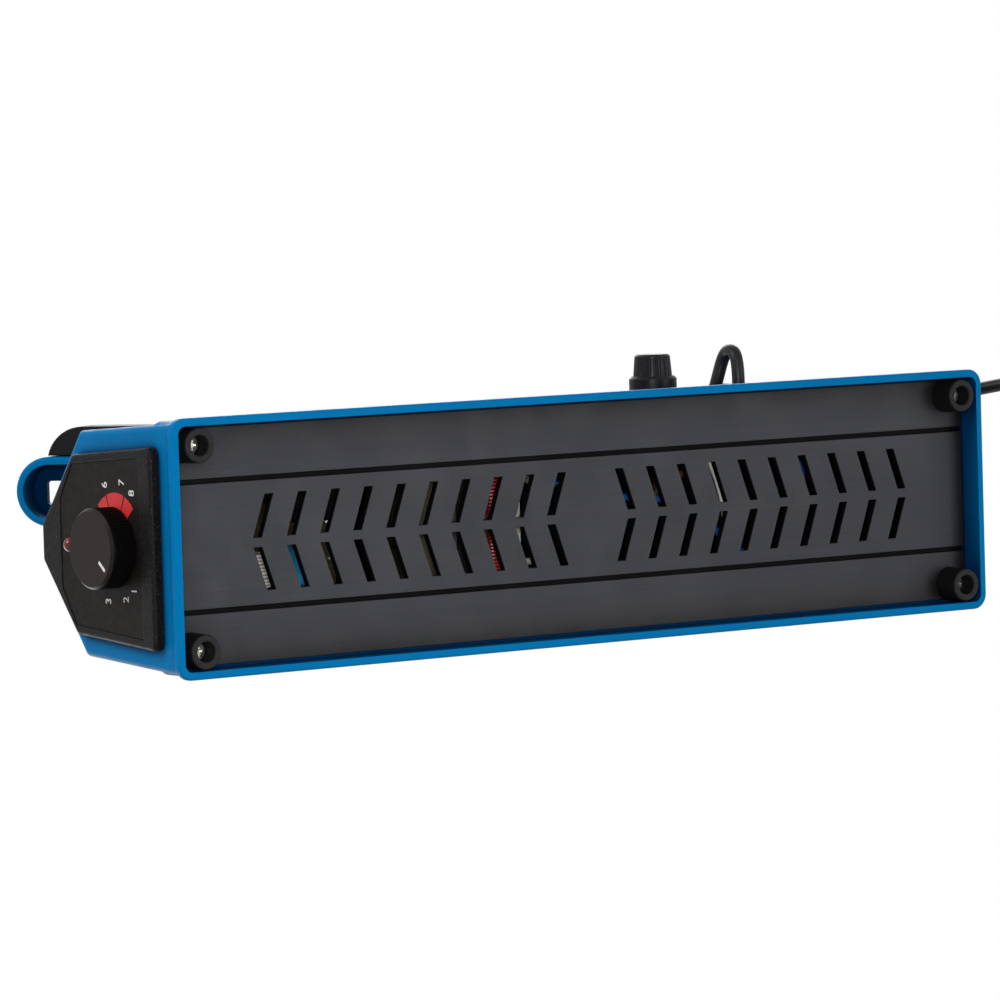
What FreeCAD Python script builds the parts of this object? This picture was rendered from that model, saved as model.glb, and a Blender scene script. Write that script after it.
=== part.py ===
import FreeCAD, Part
import math
import os

# Impulse heat sealer, standing on its feet on a table.
# +X is the end with the control panel, +Y the side with the fuse and the cord, +Z is up.
# The origin is on the table, under the middle of the base. All sizes are millimetres.

Vector = FreeCAD.Vector

# Clearances
slide_gap = 0.3
running_fit = 0.06
free_gap = 0.5
seal_gap = 0.5
overcut = 1.0
tiny = 0.01
smallest_round = 0.3

# Base and body shell
base_length = 320.0
base_width = 80.0
base_corner = 5.0
rim_wall = 2.5
lip_height = 3.0
lip_proud = 1.1
skirt_height = 13.0
ledge_wall = 2.5
wall = 2.2
ledge_width = 6.6
shoulder_height = 57.0
body_height = 76.3
top_flat = 24.4
collar_depth = 12.0
collar_base_inset = 1.5
collar_flare = 1.6
collar_shoulder_rise = 1.3
collar_rise = 0.3
edge_round = 2.0
lip_round = 0.8
collar_bevel_back = 3.4
collar_bevel_in = 3.2
bevel_over = 0.3

# Feet and bottom plate
foot_proud = 1.2
foot_diameter = 10.6
foot_taper = 0.6
foot_round = 0.8
foot_bore = 6.2
foot_floor = 2.0
foot_inset_x = 9.5
foot_inset_y = 8.5
plate_thickness = 2.5
plate_side_gap = 1.0
plate_end_gap = 0.3
groove_width = 1.7
groove_depth = 1.2
groove_offset = 20.0
foot_screw_diameter = 2.8
foot_screw_head = 5.4
foot_screw_head_height = 1.8
foot_screw_length = 9.0
boss_diameter = 7.0
boss_height = 9.0

# Cooling slots in the plate, two groups of chevrons
slot_pitch = 12.43
slot_width = 3.3
slot_lean = 4.7
slot_inner = 1.45
slot_outer = 14.9
front_slots_inset = 33.6
rear_slots_inset = 27.3
slots_middle_gap = 5.0

# Control panel, dial and knob
panel_thickness = 3.3
panel_bottom = 9.5
panel_bottom_width = 62.6
panel_shoulder_drop = 2.0
panel_shoulder_width = 56.0
panel_top_drop = 2.5
panel_top_width = 11.2
panel_round = 2.4
label_depth = 0.5
label_thickness = 0.3
label_bottom = 16.4
label_bottom_width = 55.4
label_shoulder_drop = 2.2
label_shoulder_width = 49.8
label_top_drop = 14.0
label_top_width = 27.2
dial_height = 31.2
knob_diameter = 25.1
knob_height = 8.5
knob_chamfer = 0.8
knob_rib_count = 60
knob_rib_depth = 0.45
knob_cap_height = 1.9
knob_skin = 2.2
knob_hub_diameter = 10.0
pointer_length = 4.3
pointer_width = 1.05
pointer_depth = 0.4
pointer_inset = 2.2
pointer_angle = 218.5
shaft_diameter = 6.0
shaft_in_knob = 4.0
bush_diameter = 8.8
bush_length = 8.6
nut_across = 11.0
nut_thickness = 2.0
pot_diameter = 22.0
pot_depth = 12.0
pot_tab_pitch = 5.0
pot_tab_width = 2.0
pot_tab_thickness = 1.2
pot_tab_setback = 2.8
pot_tab_length = 9.0
pot_tab_drop = 6.0
lamp_drop = 7.4
lamp_diameter = 5.0
lamp_flange_diameter = 6.2
lamp_flange_thickness = 1.2
lamp_proud = 0.9
lamp_lead_length = 8.0
lamp_lead_pitch = 2.54
lead_diameter = 0.7

# Fuse holder and cord bushing on the +Y wall
fuse_x = -45.6
fuse_height = 30.0
fuse_body_diameter = 11.6
fuse_body_depth = 24.0
fuse_ring_diameter = 15.6
fuse_ring_proud = 9.3
fuse_ring_chamfer = 0.8
fuse_ring_recess = 0.9
fuse_nut_across = 15.6
fuse_nut_thickness = 4.0
fuse_cap_diameter = 12.8
fuse_cap_end_diameter = 11.5
fuse_cap_length = 7.7
fuse_cap_neck = 8.0
fuse_cap_neck_length = 7.0
fuse_cap_seat = 6.0
fuse_cap_chamfer = 0.6
fuse_cap_slot_length = 8.0
fuse_cap_slot_width = 1.2
fuse_cap_slot_depth = 0.8
fuse_cap_rib_stop = 1.2
fuse_cap_rib_count = 24
fuse_cap_rib_depth = 0.5
fuse_diameter = 5.2
fuse_length = 20.0
bushing_x = -96.4
bushing_height = 50.0
bushing_base_diameter = 12.0
bushing_flange_diameter = 11.0
bushing_neck_diameter = 8.0
bushing_grip_diameter = 10.4
bushing_proud = 4.0
bushing_in = 6.0

# Sealing bed on top of the body
bed_start = 29.0
bed_end_gap = 13.0
bed_width = 20.0
bed_height = 7.2
bed_round = 0.8
element_width = 2.4
element_thickness = 0.3
element_lift = 0.8
cover_thickness = 0.3
cover_end_gap = 2.0
cover_drop = 5.0
strip_end_gap = 3.0
strip_width = 2.0
strip_height = 4.4
clamp_length = 5.4
clamp_width = 12.0
clamp_height = 4.0
small_screw = 2.6
small_screw_head = 4.6
small_screw_head_height = 1.5
deck_screw_bite = 5.0
strip_screw_count = 4
strip_screw = 2.0
strip_screw_head = 3.6
strip_screw_head_height = 1.0
strip_screw_bite = 3.0

# Cross recess of every screw, as shares of its head
cross_reach = 0.32
cross_half_width = 0.07
cross_depth = 0.6

# Hinge, lever arm and press bar
hinge_inset = 20.0
hinge_rise = 15.7
open_angle = 52.6
pin_diameter = 5.0
pin_head_diameter = 8.0
pin_head_height = 1.6
clip_diameter = 8.4
clip_thickness = 1.2
clip_groove = 0.6
clip_mouth = 2.8
pin_end = 1.4
bracket_length = 30.0
bracket_plate = 2.0
cheek_thickness = 2.2
cheek_round = 8.0
arm_width = 25.0
arm_wall = 2.2
arm_height = 14.0
arm_web = 2.5
arm_front_inset = 23.0
arm_heel = 14.0
ear_round = 7.5
handle_length = 24.0
handle_round = 1.4
handle_wall = 2.8
handle_slot_width = 8.4
handle_slot_shift = -1.0
handle_slot_rim = 7.6
handle_slot_length = 11.4
handle_slot_round = 1.2
cover_width = 46.0
cover_front_gap = 11.3
cover_corner = 13.5
cover_skirt_start = 3.0
cover_shell = 2.3
cover_nose = 24.0
cover_notch_margin = 1.2
cover_round = 2.2
cover_heel = 18.0
bar_start = 34.0
bar_end_gap = 1.0
bar_width = 10.0
bar_drop = 5.0
bar_round = 0.8
silicone_end_gap = 10.0
silicone_width = 7.0
silicone_depth = 1.2
silicone_round = 1.0
arm_screw_count = 3
arm_screw_inset = 22.0
arm_screw_diameter = 3.0
arm_screw_head = 5.6
arm_screw_head_height = 1.8
arm_screw_length = 12.0

# Return spring wound on the hinge pin
spring_wire = 1.4
spring_coil = 10.4
spring_turns = 5
spring_pitch = 2.0
spring_arm_leg = 17.0
spring_arm_lean = 17.0
spring_base_slope = 60.0

# Switch that the arm presses when it closes
plunger_inset = 2.5
plunger_diameter = 5.0
plunger_round = 1.5
plunger_collar = 7.6
plunger_collar_height = 1.5
plunger_stroke = 2.5
switch_length = 20.0
switch_width = 6.4
switch_height = 10.0
switch_tab_pitch = 8.0
switch_tab_thickness = 0.8
switch_tab_width = 3.2
switch_tab_length = 5.0
switch_bracket_plate = 1.4
switch_bracket_ear = 9.0

# Transformer and electronics inside the body
core_x = 40.0
core_thickness = 20.0
core_side_gap = 4.2
core_top_gap = 4.0
core_leg = 9.0
core_yoke = 9.0
winding_end = 10.0
winding_round = 6.0
secondary_turns = 11
secondary_wire = 1.7
secondary_pitch = 2.1
frame_plate = 1.5
frame_inset = 5.0
inside_lift = 3.0
board_inset = 60.0
board_length = 46.0
board_side_gap = 4.2
board_thickness = 1.6
board_lift = 26.0
post_diameter = 5.0
capacitor_diameter = 15.0
capacitor_thickness = 6.0
capacitor_round = 2.4
capacitor_drop = 7.0
capacitor_lead_pitch = 6.0
capacitor_shift = 0.4
capacitor_y = -8.5
block_end_inset = 6.5
block_y = -9.5
block_diameter = 11.0
block_length = 20.0
block_rib_count = 8
block_rib_depth = 0.6
relay_length = 19.0
relay_width = 15.0
relay_height = 12.0
relay_shift = -8.0
relay_post_gap = 0.6
wire_diameter = 2.2

# Mains cord
cord_diameter = 4.4
arc_share = 0.45
coil_x = -222.0
coil_radius = 36.0
coil_turns = 3.0
coil_exit_turns = 2.75
coil_pitch = 5.0
coil_lift = 1.5
tie_width = 5.0
tie_thickness = 0.9
tie_angle = 300.0
tie_round = 1.6
plug_width = 24.0
plug_height = 14.0
plug_length = 27.0
plug_neck_length = 9.0
plug_neck_diameter = 8.0
plug_neck_base = 11.0
plug_round = 3.0
plug_lead = 34.0
plug_lead_straight = 10.2
blade_pitch = 12.7
blade_width = 6.3
blade_thickness = 1.5
blade_length = 17.0
blade_root = 8.0
blade_round = 0.5

# Levels and places that follow from the sizes above
rim_z = foot_proud
ledge_z = rim_z + skirt_height
plate_z = ledge_z - ledge_wall - plate_thickness
floor_z = plate_z + plate_thickness
top_z = rim_z + body_height
shoulder_z = rim_z + shoulder_height
half_length = base_length / 2
end_x = half_length - lip_proud
side_y = base_width / 2 - ledge_width
inside_y = side_y - wall
panel_x = end_x + panel_thickness
label_top_z = top_z - label_top_drop
dial_z = rim_z + dial_height
lamp_z = label_top_z - lamp_drop
fuse_z = rim_z + fuse_height
fuse_ring_out = side_y + fuse_ring_proud
bushing_z = rim_z + bushing_height
bushing_out = side_y + bushing_proud
hinge_x = hinge_inset - half_length
hinge_z = top_z + hinge_rise
hinge = Vector(hinge_x, 0, hinge_z)
arm_reach = base_length - hinge_inset - arm_front_inset
cover_front = arm_reach - cover_front_gap
handle_slot_end = arm_reach - handle_slot_rim
handle_slot_start = handle_slot_end - handle_slot_length
bar_end = arm_reach - handle_length - bar_end_gap
silicone_end = bar_end - silicone_end_gap
arm_screw_step = (bar_end - bar_start - 2 * arm_screw_inset) / (arm_screw_count - 1)
arm_screw_spots = [bar_start + arm_screw_inset + index * arm_screw_step for index in range(arm_screw_count)]
bed_length = bar_end - bed_end_gap - bed_start
bed_centre_x = hinge_x + bed_start + bed_length / 2
cover_length = bed_length - 2 * cover_end_gap
strip_length = bed_length - 2 * strip_end_gap
bed_z = top_z + bed_height
cover_z = bed_z + element_thickness + cover_thickness
element_length = bed_length + 2 * (2 * slide_gap + clamp_length + element_thickness)
plunger_x = hinge_x + bar_end - plunger_inset
plunger_top = hinge_z - bar_drop - free_gap
core_z = floor_z + inside_lift + frame_plate
core_height = shoulder_z - core_top_gap - core_z
core_width = 2 * (inside_y - core_side_gap)
core_front_x = core_x + core_thickness / 2
core_back_x = core_x - core_thickness / 2
spool_x = core_back_x - winding_end
board_x = half_length - board_inset
board_z = floor_z + board_lift
board_width = 2 * (inside_y - board_side_gap)
capacitor_x = board_x + capacitor_shift
block_x = board_x + board_length / 2 - block_end_inset
relay_x = board_x + relay_shift
post_y = board_width / 2 - post_diameter
relay_y = post_y - post_diameter / 2 - relay_post_gap - relay_width / 2
foot_spots = [(sx * (half_length - foot_inset_x), sy * (base_width / 2 - foot_inset_y))
              for sx in (-1, 1) for sy in (-1, 1)]
cord_radius = cord_diameter / 2
nodes = {}


def box(x0, x1, y0, y1, z0, z1):
    return Part.makeBox(x1 - x0, y1 - y0, z1 - z0, Vector(x0, y0, z0))


def rod(start, direction, diameter, length):
    return Part.makeCylinder(diameter / 2, length, Vector(*start), Vector(*direction))


def cone(start, direction, diameter, end_diameter, length):
    return Part.makeCone(diameter / 2, end_diameter / 2, length, Vector(*start), Vector(*direction))


def prism(points, sweep):
    outline = [Vector(*p) for p in points]
    return Part.Face(Part.makePolygon(outline + outline[:1])).extrude(Vector(*sweep))


def rounded(shape, radius, pick):
    edges = [edge for edge in shape.Edges if pick(edge)]
    return shape.makeFillet(radius, edges)


def along(edge, axis):
    ends = [v.Point for v in edge.Vertexes]
    if len(ends) < 2 or not isinstance(edge.Curve, Part.Line):
        return False
    step = ends[1].sub(ends[0]).normalize()
    return abs(abs(step.dot(Vector(*axis))) - 1) < 1e-6


def rounded_box(length, width, corner, z0, z1, x=0.0, y=0.0):
    block = box(x - length / 2, x + length / 2, y - width / 2, y + width / 2, z0, z1)
    return rounded(block, corner, lambda e: along(e, (0, 0, 1)))


def fuse_all(shapes):
    joined = shapes[0]
    for shape in shapes[1:]:
        joined = joined.fuse(shape)
    return joined.removeSplitter()


def cut_all(shape, tools):
    for tool in tools:
        shape = shape.cut(tool)
    return shape


def section_x(half_points, x0, x1):
    mirrored = [(-y, z) for y, z in reversed(half_points)]
    return prism([(x0, y, z) for y, z in half_points + mirrored], (x1 - x0, 0, 0))


def pan_screw(spot, direction, head, head_height, shank, length):
    axis = Vector(*direction)
    start = Vector(*spot)
    head_top = start - axis * head_height
    shape = rod(head_top, axis, head, head_height).fuse(rod(start, axis, shank, length))
    for turn in (0, 90):
        reach = head * cross_reach
        half = head * cross_half_width
        slot = box(-reach, reach, -half, half, 0, head_height * cross_depth)
        slot.rotate(Vector(), Vector(0, 0, 1), turn)
        turned = FreeCAD.Rotation(Vector(0, 0, 1), axis)
        slot.Placement = FreeCAD.Placement(head_top, turned) * slot.Placement
        shape = shape.cut(slot)
    return shape


def arc_from(start, heading, end):
    chord = end - start
    unit = Vector(chord).normalize()
    across = heading - unit * heading.dot(unit)
    if across.Length < 1e-7:
        return Part.LineSegment(start, end).toShape()
    angle = heading.getAngle(unit)
    middle = (start + end) * 0.5 + across.normalize() * (chord.Length / 2 * math.tan(angle / 2))
    return Part.Arc(start, middle, end).toShape()


def biarc(start, heading, end, end_heading):
    gap = end - start
    both = heading + end_heading
    bend = 2 * (1 - heading.dot(end_heading))
    reach = (-gap.dot(both) + math.sqrt(gap.dot(both) ** 2 + bend * gap.dot(gap))) / bend
    joint = (start + heading * reach + end - end_heading * reach) * 0.5
    second = arc_from(end, end_heading * -1, joint)
    return [arc_from(start, heading, joint), second]


def curve_edges(place, spans, first, last):
    step = 1e-4
    spots = [i / spans for i in range(spans + 1)]
    headings = [(place(t + step) - place(t - step)).normalize() for t in spots]
    headings[0] = first
    headings[-1] = last
    edges = []
    for i in range(spans):
        edges += biarc(place(spots[i]), headings[i], place(spots[i + 1]), headings[i + 1])
    return edges


def tube(edges, start, heading, diameter):
    path = Part.Wire(Part.__sortEdges__(edges))
    ring = Part.Wire(Part.makeCircle(diameter / 2, start, heading))
    return path.makePipeShell([ring], True, False), path.Length


def self_gap(place, diameter, length, samples=900):
    points = [place(i / samples) for i in range(samples + 1)]
    spacing = length / samples
    skip = int(2.5 * diameter / spacing) + 2
    least = min(points[i].distanceToPoint(points[j])
                for i in range(len(points)) for j in range(i + skip, len(points)))
    return least - diameter


def corded(name, points, diameter):
    route = [Vector(*p) for p in points]
    edges = []
    radii = []
    last = route[0]
    for before, corner, after in zip(route, route[1:], route[2:]):
        into = corner - before
        out = after - corner
        turn = into.getAngle(out)
        tangent = arc_share * min(into.Length, out.Length)
        radii.append(tangent / math.tan(turn / 2))
        start = corner - into.normalize() * tangent
        end = corner + out.normalize() * tangent
        edges.append(Part.LineSegment(last, start).toShape())
        edges.append(arc_from(start, into, end))
        last = end
    edges.append(Part.LineSegment(last, route[-1]).toShape())
    shape, length = tube(edges, route[0], route[1] - route[0], diameter)
    section = math.pi * diameter ** 2 / 4
    print(name, "radii", [round(r, 1) for r in radii], "length", round(length, 1),
          "volume ratio", round(shape.Volume / (section * length), 4))
    return shape


def swing_open(shape):
    raised = shape.copy()
    raised.rotate(hinge, Vector(0, 1, 0), -open_angle)
    return raised


def arm_box(s0, s1, y0, y1, w0, w1):
    return box(hinge_x + s0, hinge_x + s1, y0, y1, hinge_z + w0, hinge_z + w1)


# Body shell: a rim with a lip, a skirt with a ledge, the body and a wider front collar
def body_outline(inset):
    slope = (side_y - top_flat / 2) / (top_z - shoulder_z)
    lean = math.hypot(1, slope)
    shoulder = shoulder_z - inset * (lean - 1) / slope
    top = top_z - inset
    return [(side_y - inset, shoulder), (side_y - inset - (top - shoulder) * slope, top)]


def bevel_wedge(start, end, outward):
    corners = []
    for back, inward in ((-bevel_over, -bevel_over), (1 + bevel_over, -bevel_over),
                         (-bevel_over, 1 + bevel_over)):
        corners.append(tuple(start + Vector(-back * collar_bevel_back, 0, 0)
                             - outward * (inward * collar_bevel_in)))
    return prism(corners, tuple(end - start))


def make_collar():
    shoulder = Vector(end_x, side_y + collar_flare, shoulder_z + collar_shoulder_rise)
    crest = Vector(end_x, top_flat / 2, top_z + collar_rise)
    collar = section_x([(base_width / 2 - collar_base_inset, rim_z + lip_height),
                        (shoulder.y, shoulder.z), (crest.y, crest.z)], end_x - collar_depth, end_x)
    run = crest - shoulder
    slope = bevel_wedge(shoulder - run, crest + run, Vector(0, run.z, -run.y).normalize())
    across = Vector(0, 2 * top_flat, 0)
    level = bevel_wedge(crest - across, crest + across, Vector(0, 0, 1))
    collar = cut_all(collar, [slope, slope.mirror(Vector(), Vector(0, 1, 0)), level])
    back = end_x - collar_depth + tiny
    return rounded(collar, edge_round, lambda e: e.BoundBox.ZMax > ledge_z and e.BoundBox.XMax > back)


def make_shell():
    lip = rounded_box(base_length, base_width, base_corner, rim_z, rim_z + lip_height)
    lip = rounded(lip, lip_round, lambda e: e.BoundBox.ZLength < tiny)
    skirt = rounded_box(base_length - 2 * lip_proud, base_width - 2 * lip_proud,
                        max(base_corner - lip_proud, smallest_round), rim_z, ledge_z)
    body = section_x([(side_y, rim_z + lip_height)] + body_outline(0), -end_x, end_x - collar_depth / 2)
    collar = make_collar()
    body = rounded(body, edge_round, lambda e: along(e, (1, 0, 0)) and e.BoundBox.ZMin > ledge_z)
    shell = fuse_all([lip, skirt, body, collar])
    pocket = rounded_box(base_length - 2 * rim_wall, base_width - 2 * rim_wall,
                         max(base_corner - rim_wall, smallest_round), rim_z, floor_z)
    cavity = section_x([(inside_y, plate_z)] + body_outline(wall), wall - end_x, end_x - wall)
    shell = cut_all(shell, [pocket, cavity])
    inner = box(-end_x, end_x, wall / 2 - side_y, side_y - wall / 2, rim_z, top_z)
    bosses = [rod((x, y, floor_z), (0, 0, 1), boss_diameter, boss_height).common(inner)
              for x, y in foot_spots]
    shell = fuse_all([shell] + bosses)
    shell = cut_all(shell, [rod((x, y, plate_z), (0, 0, 1), foot_screw_diameter, boss_height)
                            for x, y in foot_spots])
    through = wall + 2 * overcut
    side = inside_y - overcut
    deck = top_z - wall - overcut
    holes = [rod((fuse_x, side, fuse_z), (0, 1, 0), fuse_body_diameter + 2 * slide_gap, through),
             rod((bushing_x, side, bushing_z), (0, 1, 0), bushing_neck_diameter, through),
             rod((plunger_x, 0, deck), (0, 0, 1), plunger_diameter + 2 * slide_gap, through)]
    holes += front_holes(end_x - wall, wall)
    holes += [rod((x, 0, deck), (0, 0, 1), small_screw, through)
              for x in bracket_screw_spots() + clamp_spots()]
    return cut_all(shell, holes)


def bracket_screw_spots():
    reach = bracket_length / 2 - small_screw_head / 2 - bracket_plate
    return [hinge_x + side * reach for side in (-1, 1)]


def clamp_spots():
    reach = bed_length / 2 + slide_gap + clamp_length / 2
    return [bed_centre_x + side * reach for side in (-1, 1)]


def strip_spots():
    z = bed_z - cover_drop + strip_height / 2
    first = bed_centre_x - strip_length / 2
    step = strip_length / strip_screw_count
    return [(first + step * (index + 0.5), z) for index in range(strip_screw_count)]


# Bottom plate with its grooves and cooling slots
def slot_prism(edge, outward, side):
    lean = outward * slot_lean
    width = outward * slot_width
    inner = side * slot_inner
    outer = side * slot_outer
    z = plate_z - overcut
    return prism([(edge, inner, z), (edge - width, inner, z), (edge - width - lean, outer, z),
                  (edge - lean, outer, z)], (0, 0, plate_thickness + 2 * overcut))


def make_plate():
    length = base_length - 2 * rim_wall - 2 * plate_end_gap
    width = base_width - 2 * rim_wall - 2 * plate_side_gap
    corner = max(base_corner - rim_wall - plate_end_gap, smallest_round)
    plate = rounded_box(length, width, corner, plate_z, floor_z)
    tools = [box(-length, length, side * groove_offset - groove_width / 2,
                 side * groove_offset + groove_width / 2, plate_z - overcut, plate_z + groove_depth)
             for side in (-1, 1)]
    for outward, inset in ((1, front_slots_inset), (-1, rear_slots_inset)):
        edge = half_length - inset
        count = 1 + int((edge - slot_width - slot_lean - slots_middle_gap) / slot_pitch)
        for index in range(count):
            at = outward * (edge - index * slot_pitch)
            tools += [slot_prism(at, outward, side) for side in (-1, 1)]
    tools += [rod((x, y, plate_z - overcut), (0, 0, 1), foot_screw_diameter + slide_gap,
                  plate_thickness + 2 * overcut) for x, y in foot_spots]
    return cut_all(plate, tools)


def make_feet():
    feet = []
    screws = []
    for x, y in foot_spots:
        foot = cone((x, y, 0), (0, 0, 1), foot_diameter, foot_diameter + foot_taper, plate_z)
        foot = foot.cut(rod((x, y, -overcut), (0, 0, 1), foot_bore, plate_z - foot_floor + overcut))
        foot = rounded(foot, foot_round, lambda e: e.BoundBox.ZMax < tiny)
        feet.append(foot.cut(rod((x, y, 0), (0, 0, 1), foot_screw_diameter + slide_gap, plate_z)))
        screws.append(pan_screw((x, y, plate_z - foot_floor), (0, 0, 1), foot_screw_head,
                                foot_screw_head_height, foot_screw_diameter, foot_screw_length))
    return Part.makeCompound(feet), Part.makeCompound(screws)


# Control panel on the front end
def hexagon(bottom, bottom_width, shoulder, shoulder_width, top, top_width, x0, x1):
    half_points = [(bottom_width / 2, bottom), (shoulder_width / 2, shoulder), (top_width / 2, top)]
    return section_x(half_points, x0, x1)


def make_label(x0, x1, grow):
    return hexagon(rim_z + label_bottom - grow, label_bottom_width + 2 * grow,
                   shoulder_z - label_shoulder_drop + grow, label_shoulder_width + 2 * grow,
                   label_top_z + grow, label_top_width + 2 * grow, x0, x1)


def make_panel():
    panel = hexagon(rim_z + panel_bottom, panel_bottom_width, shoulder_z - panel_shoulder_drop,
                    panel_shoulder_width, top_z - panel_top_drop, panel_top_width, end_x, panel_x)
    panel = rounded(panel, panel_round, lambda e: along(e, (1, 0, 0)))
    panel = rounded(panel, panel_round / 2, lambda e: e.BoundBox.XMin > panel_x - tiny)
    recess = make_label(panel_x - label_depth, panel_x + overcut, slide_gap)
    return cut_all(panel, [recess] + front_holes(end_x, panel_thickness))


def front_holes(back, thickness):
    length = thickness + 2 * overcut
    return [rod((back - overcut, 0, dial_z), (1, 0, 0), bush_diameter + 2 * slide_gap, length),
            rod((back - overcut, 0, lamp_z), (1, 0, 0), lamp_diameter + 2 * slide_gap, length)]


def make_dial_label():
    back = panel_x - label_depth
    return cut_all(make_label(back, back + label_thickness, 0), front_holes(back, label_thickness))


def make_knob():
    back = panel_x + slide_gap
    knob = rod((back, 0, dial_z), (1, 0, 0), knob_diameter, knob_height)
    rim = [e for e in knob.Edges if e.BoundBox.XMin > back + knob_height - tiny]
    knob = knob.makeChamfer(knob_chamfer, rim)
    ribbed = knob_height - knob_cap_height
    for index in range(knob_rib_count):
        angle = 2 * math.pi * index / knob_rib_count
        reach = knob_diameter / 2
        spot = (back, reach * math.sin(angle), dial_z + reach * math.cos(angle))
        knob = knob.cut(rod(spot, (1, 0, 0), 2 * knob_rib_depth, ribbed))
    hollow = rod((back, 0, dial_z), (1, 0, 0), knob_diameter - 2 * knob_skin, knob_height - knob_skin)
    hollow = hollow.cut(rod((back, 0, dial_z), (1, 0, 0), knob_hub_diameter, knob_height))
    hub_cut = rod((back, 0, dial_z), (1, 0, 0), knob_hub_diameter + 2 * slide_gap, bush_overlap())
    bore = rod((back, 0, dial_z), (1, 0, 0), shaft_diameter, bush_overlap() + shaft_in_knob)
    return cut_all(knob, [hollow, hub_cut, bore, pointer_bar()])


def bush_overlap():
    return bush_length - wall - panel_thickness + slide_gap


def pointer_bar():
    face = panel_x + slide_gap + knob_height
    outer = knob_diameter / 2 - pointer_inset
    bar = box(face - pointer_depth, face, -pointer_width / 2, pointer_width / 2,
              dial_z + outer - pointer_length, dial_z + outer)
    bar.rotate(Vector(face, 0, dial_z), Vector(1, 0, 0), -pointer_angle)
    return bar


def hexagon_nut(x, y, z, across, sweep, turned):
    corner = across / math.sqrt(3)
    angles = [math.radians(60 * index) for index in range(6)]
    spots = [(corner * math.cos(angle), corner * math.sin(angle)) for angle in angles]
    if turned:
        return prism([(x + a, y, z + b) for a, b in spots], (0, sweep, 0))
    return prism([(x, y + a, z + b) for a, b in spots], (sweep, 0, 0))


def make_potentiometer():
    back = end_x - wall
    can = rod((back - pot_depth, 0, dial_z), (1, 0, 0), pot_diameter, pot_depth)
    bush = rod((back, 0, dial_z), (1, 0, 0), bush_diameter, bush_length)
    tab_x = back - pot_tab_setback
    tab_z = dial_z - pot_diameter / 2 - pot_tab_drop
    tabs = [box(tab_x - pot_tab_thickness, tab_x, y - pot_tab_width / 2, y + pot_tab_width / 2, tab_z,
                tab_z + pot_tab_length) for y in (-pot_tab_pitch, 0, pot_tab_pitch)]
    body = fuse_all([can, bush] + tabs)
    bore = rod((back, 0, dial_z), (1, 0, 0), shaft_diameter + 2 * running_fit, bush_length + overcut)
    shaft_start = back + slide_gap
    shaft_end = panel_x + slide_gap + bush_overlap() + shaft_in_knob
    shaft = rod((shaft_start, 0, dial_z), (1, 0, 0), shaft_diameter, shaft_end - shaft_start)
    seat = panel_x - label_depth + label_thickness
    nut = hexagon_nut(seat, 0, dial_z, nut_across, nut_thickness, False)
    return body.cut(bore), shaft, nut.cut(rod((seat, 0, dial_z), (1, 0, 0), bush_diameter, nut_thickness))


def make_lamp():
    tip = panel_x + lamp_proud
    back = end_x - wall - slide_gap - lamp_flange_thickness
    lens = rod((back, 0, lamp_z), (1, 0, 0), lamp_diameter, tip - back)
    dome = Part.makeSphere(lamp_diameter / 2, Vector(tip, 0, lamp_z))
    flange = rod((back, 0, lamp_z), (1, 0, 0), lamp_flange_diameter, lamp_flange_thickness)
    leads = [rod((back - lamp_lead_length, side * lamp_lead_pitch / 2, lamp_z), (1, 0, 0), lead_diameter,
                 lamp_lead_length) for side in (-1, 1)]
    return fuse_all([lens, dome, flange] + leads)


# Fuse holder, its cap and the cord's bushing on the side wall
def make_fuse_holder():
    body = rod((fuse_x, side_y - fuse_body_depth, fuse_z), (0, 1, 0), fuse_body_diameter,
               fuse_body_depth + fuse_ring_proud)
    ring = rod((fuse_x, side_y, fuse_z), (0, 1, 0), fuse_ring_diameter, fuse_ring_proud)
    rim = [e for e in ring.Edges if e.BoundBox.YMin > fuse_ring_out - tiny]
    ring = ring.makeChamfer(fuse_ring_chamfer, rim)
    nut_y = inside_y - fuse_nut_thickness
    nut = hexagon_nut(fuse_x, nut_y, fuse_z, fuse_nut_across, fuse_nut_thickness, True)
    depth = fuse_ring_recess + fuse_cap_neck_length + fuse_length - fuse_cap_seat + slide_gap
    bore = rod((fuse_x, fuse_ring_out - depth, fuse_z), (0, 1, 0), fuse_cap_neck + 2 * slide_gap,
               depth + overcut)
    recess = rod((fuse_x, fuse_ring_out - fuse_ring_recess, fuse_z), (0, 1, 0),
                 fuse_cap_diameter + 2 * slide_gap, fuse_ring_recess + overcut)
    return cut_all(fuse_all([body, ring, nut]), [bore, recess])


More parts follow.
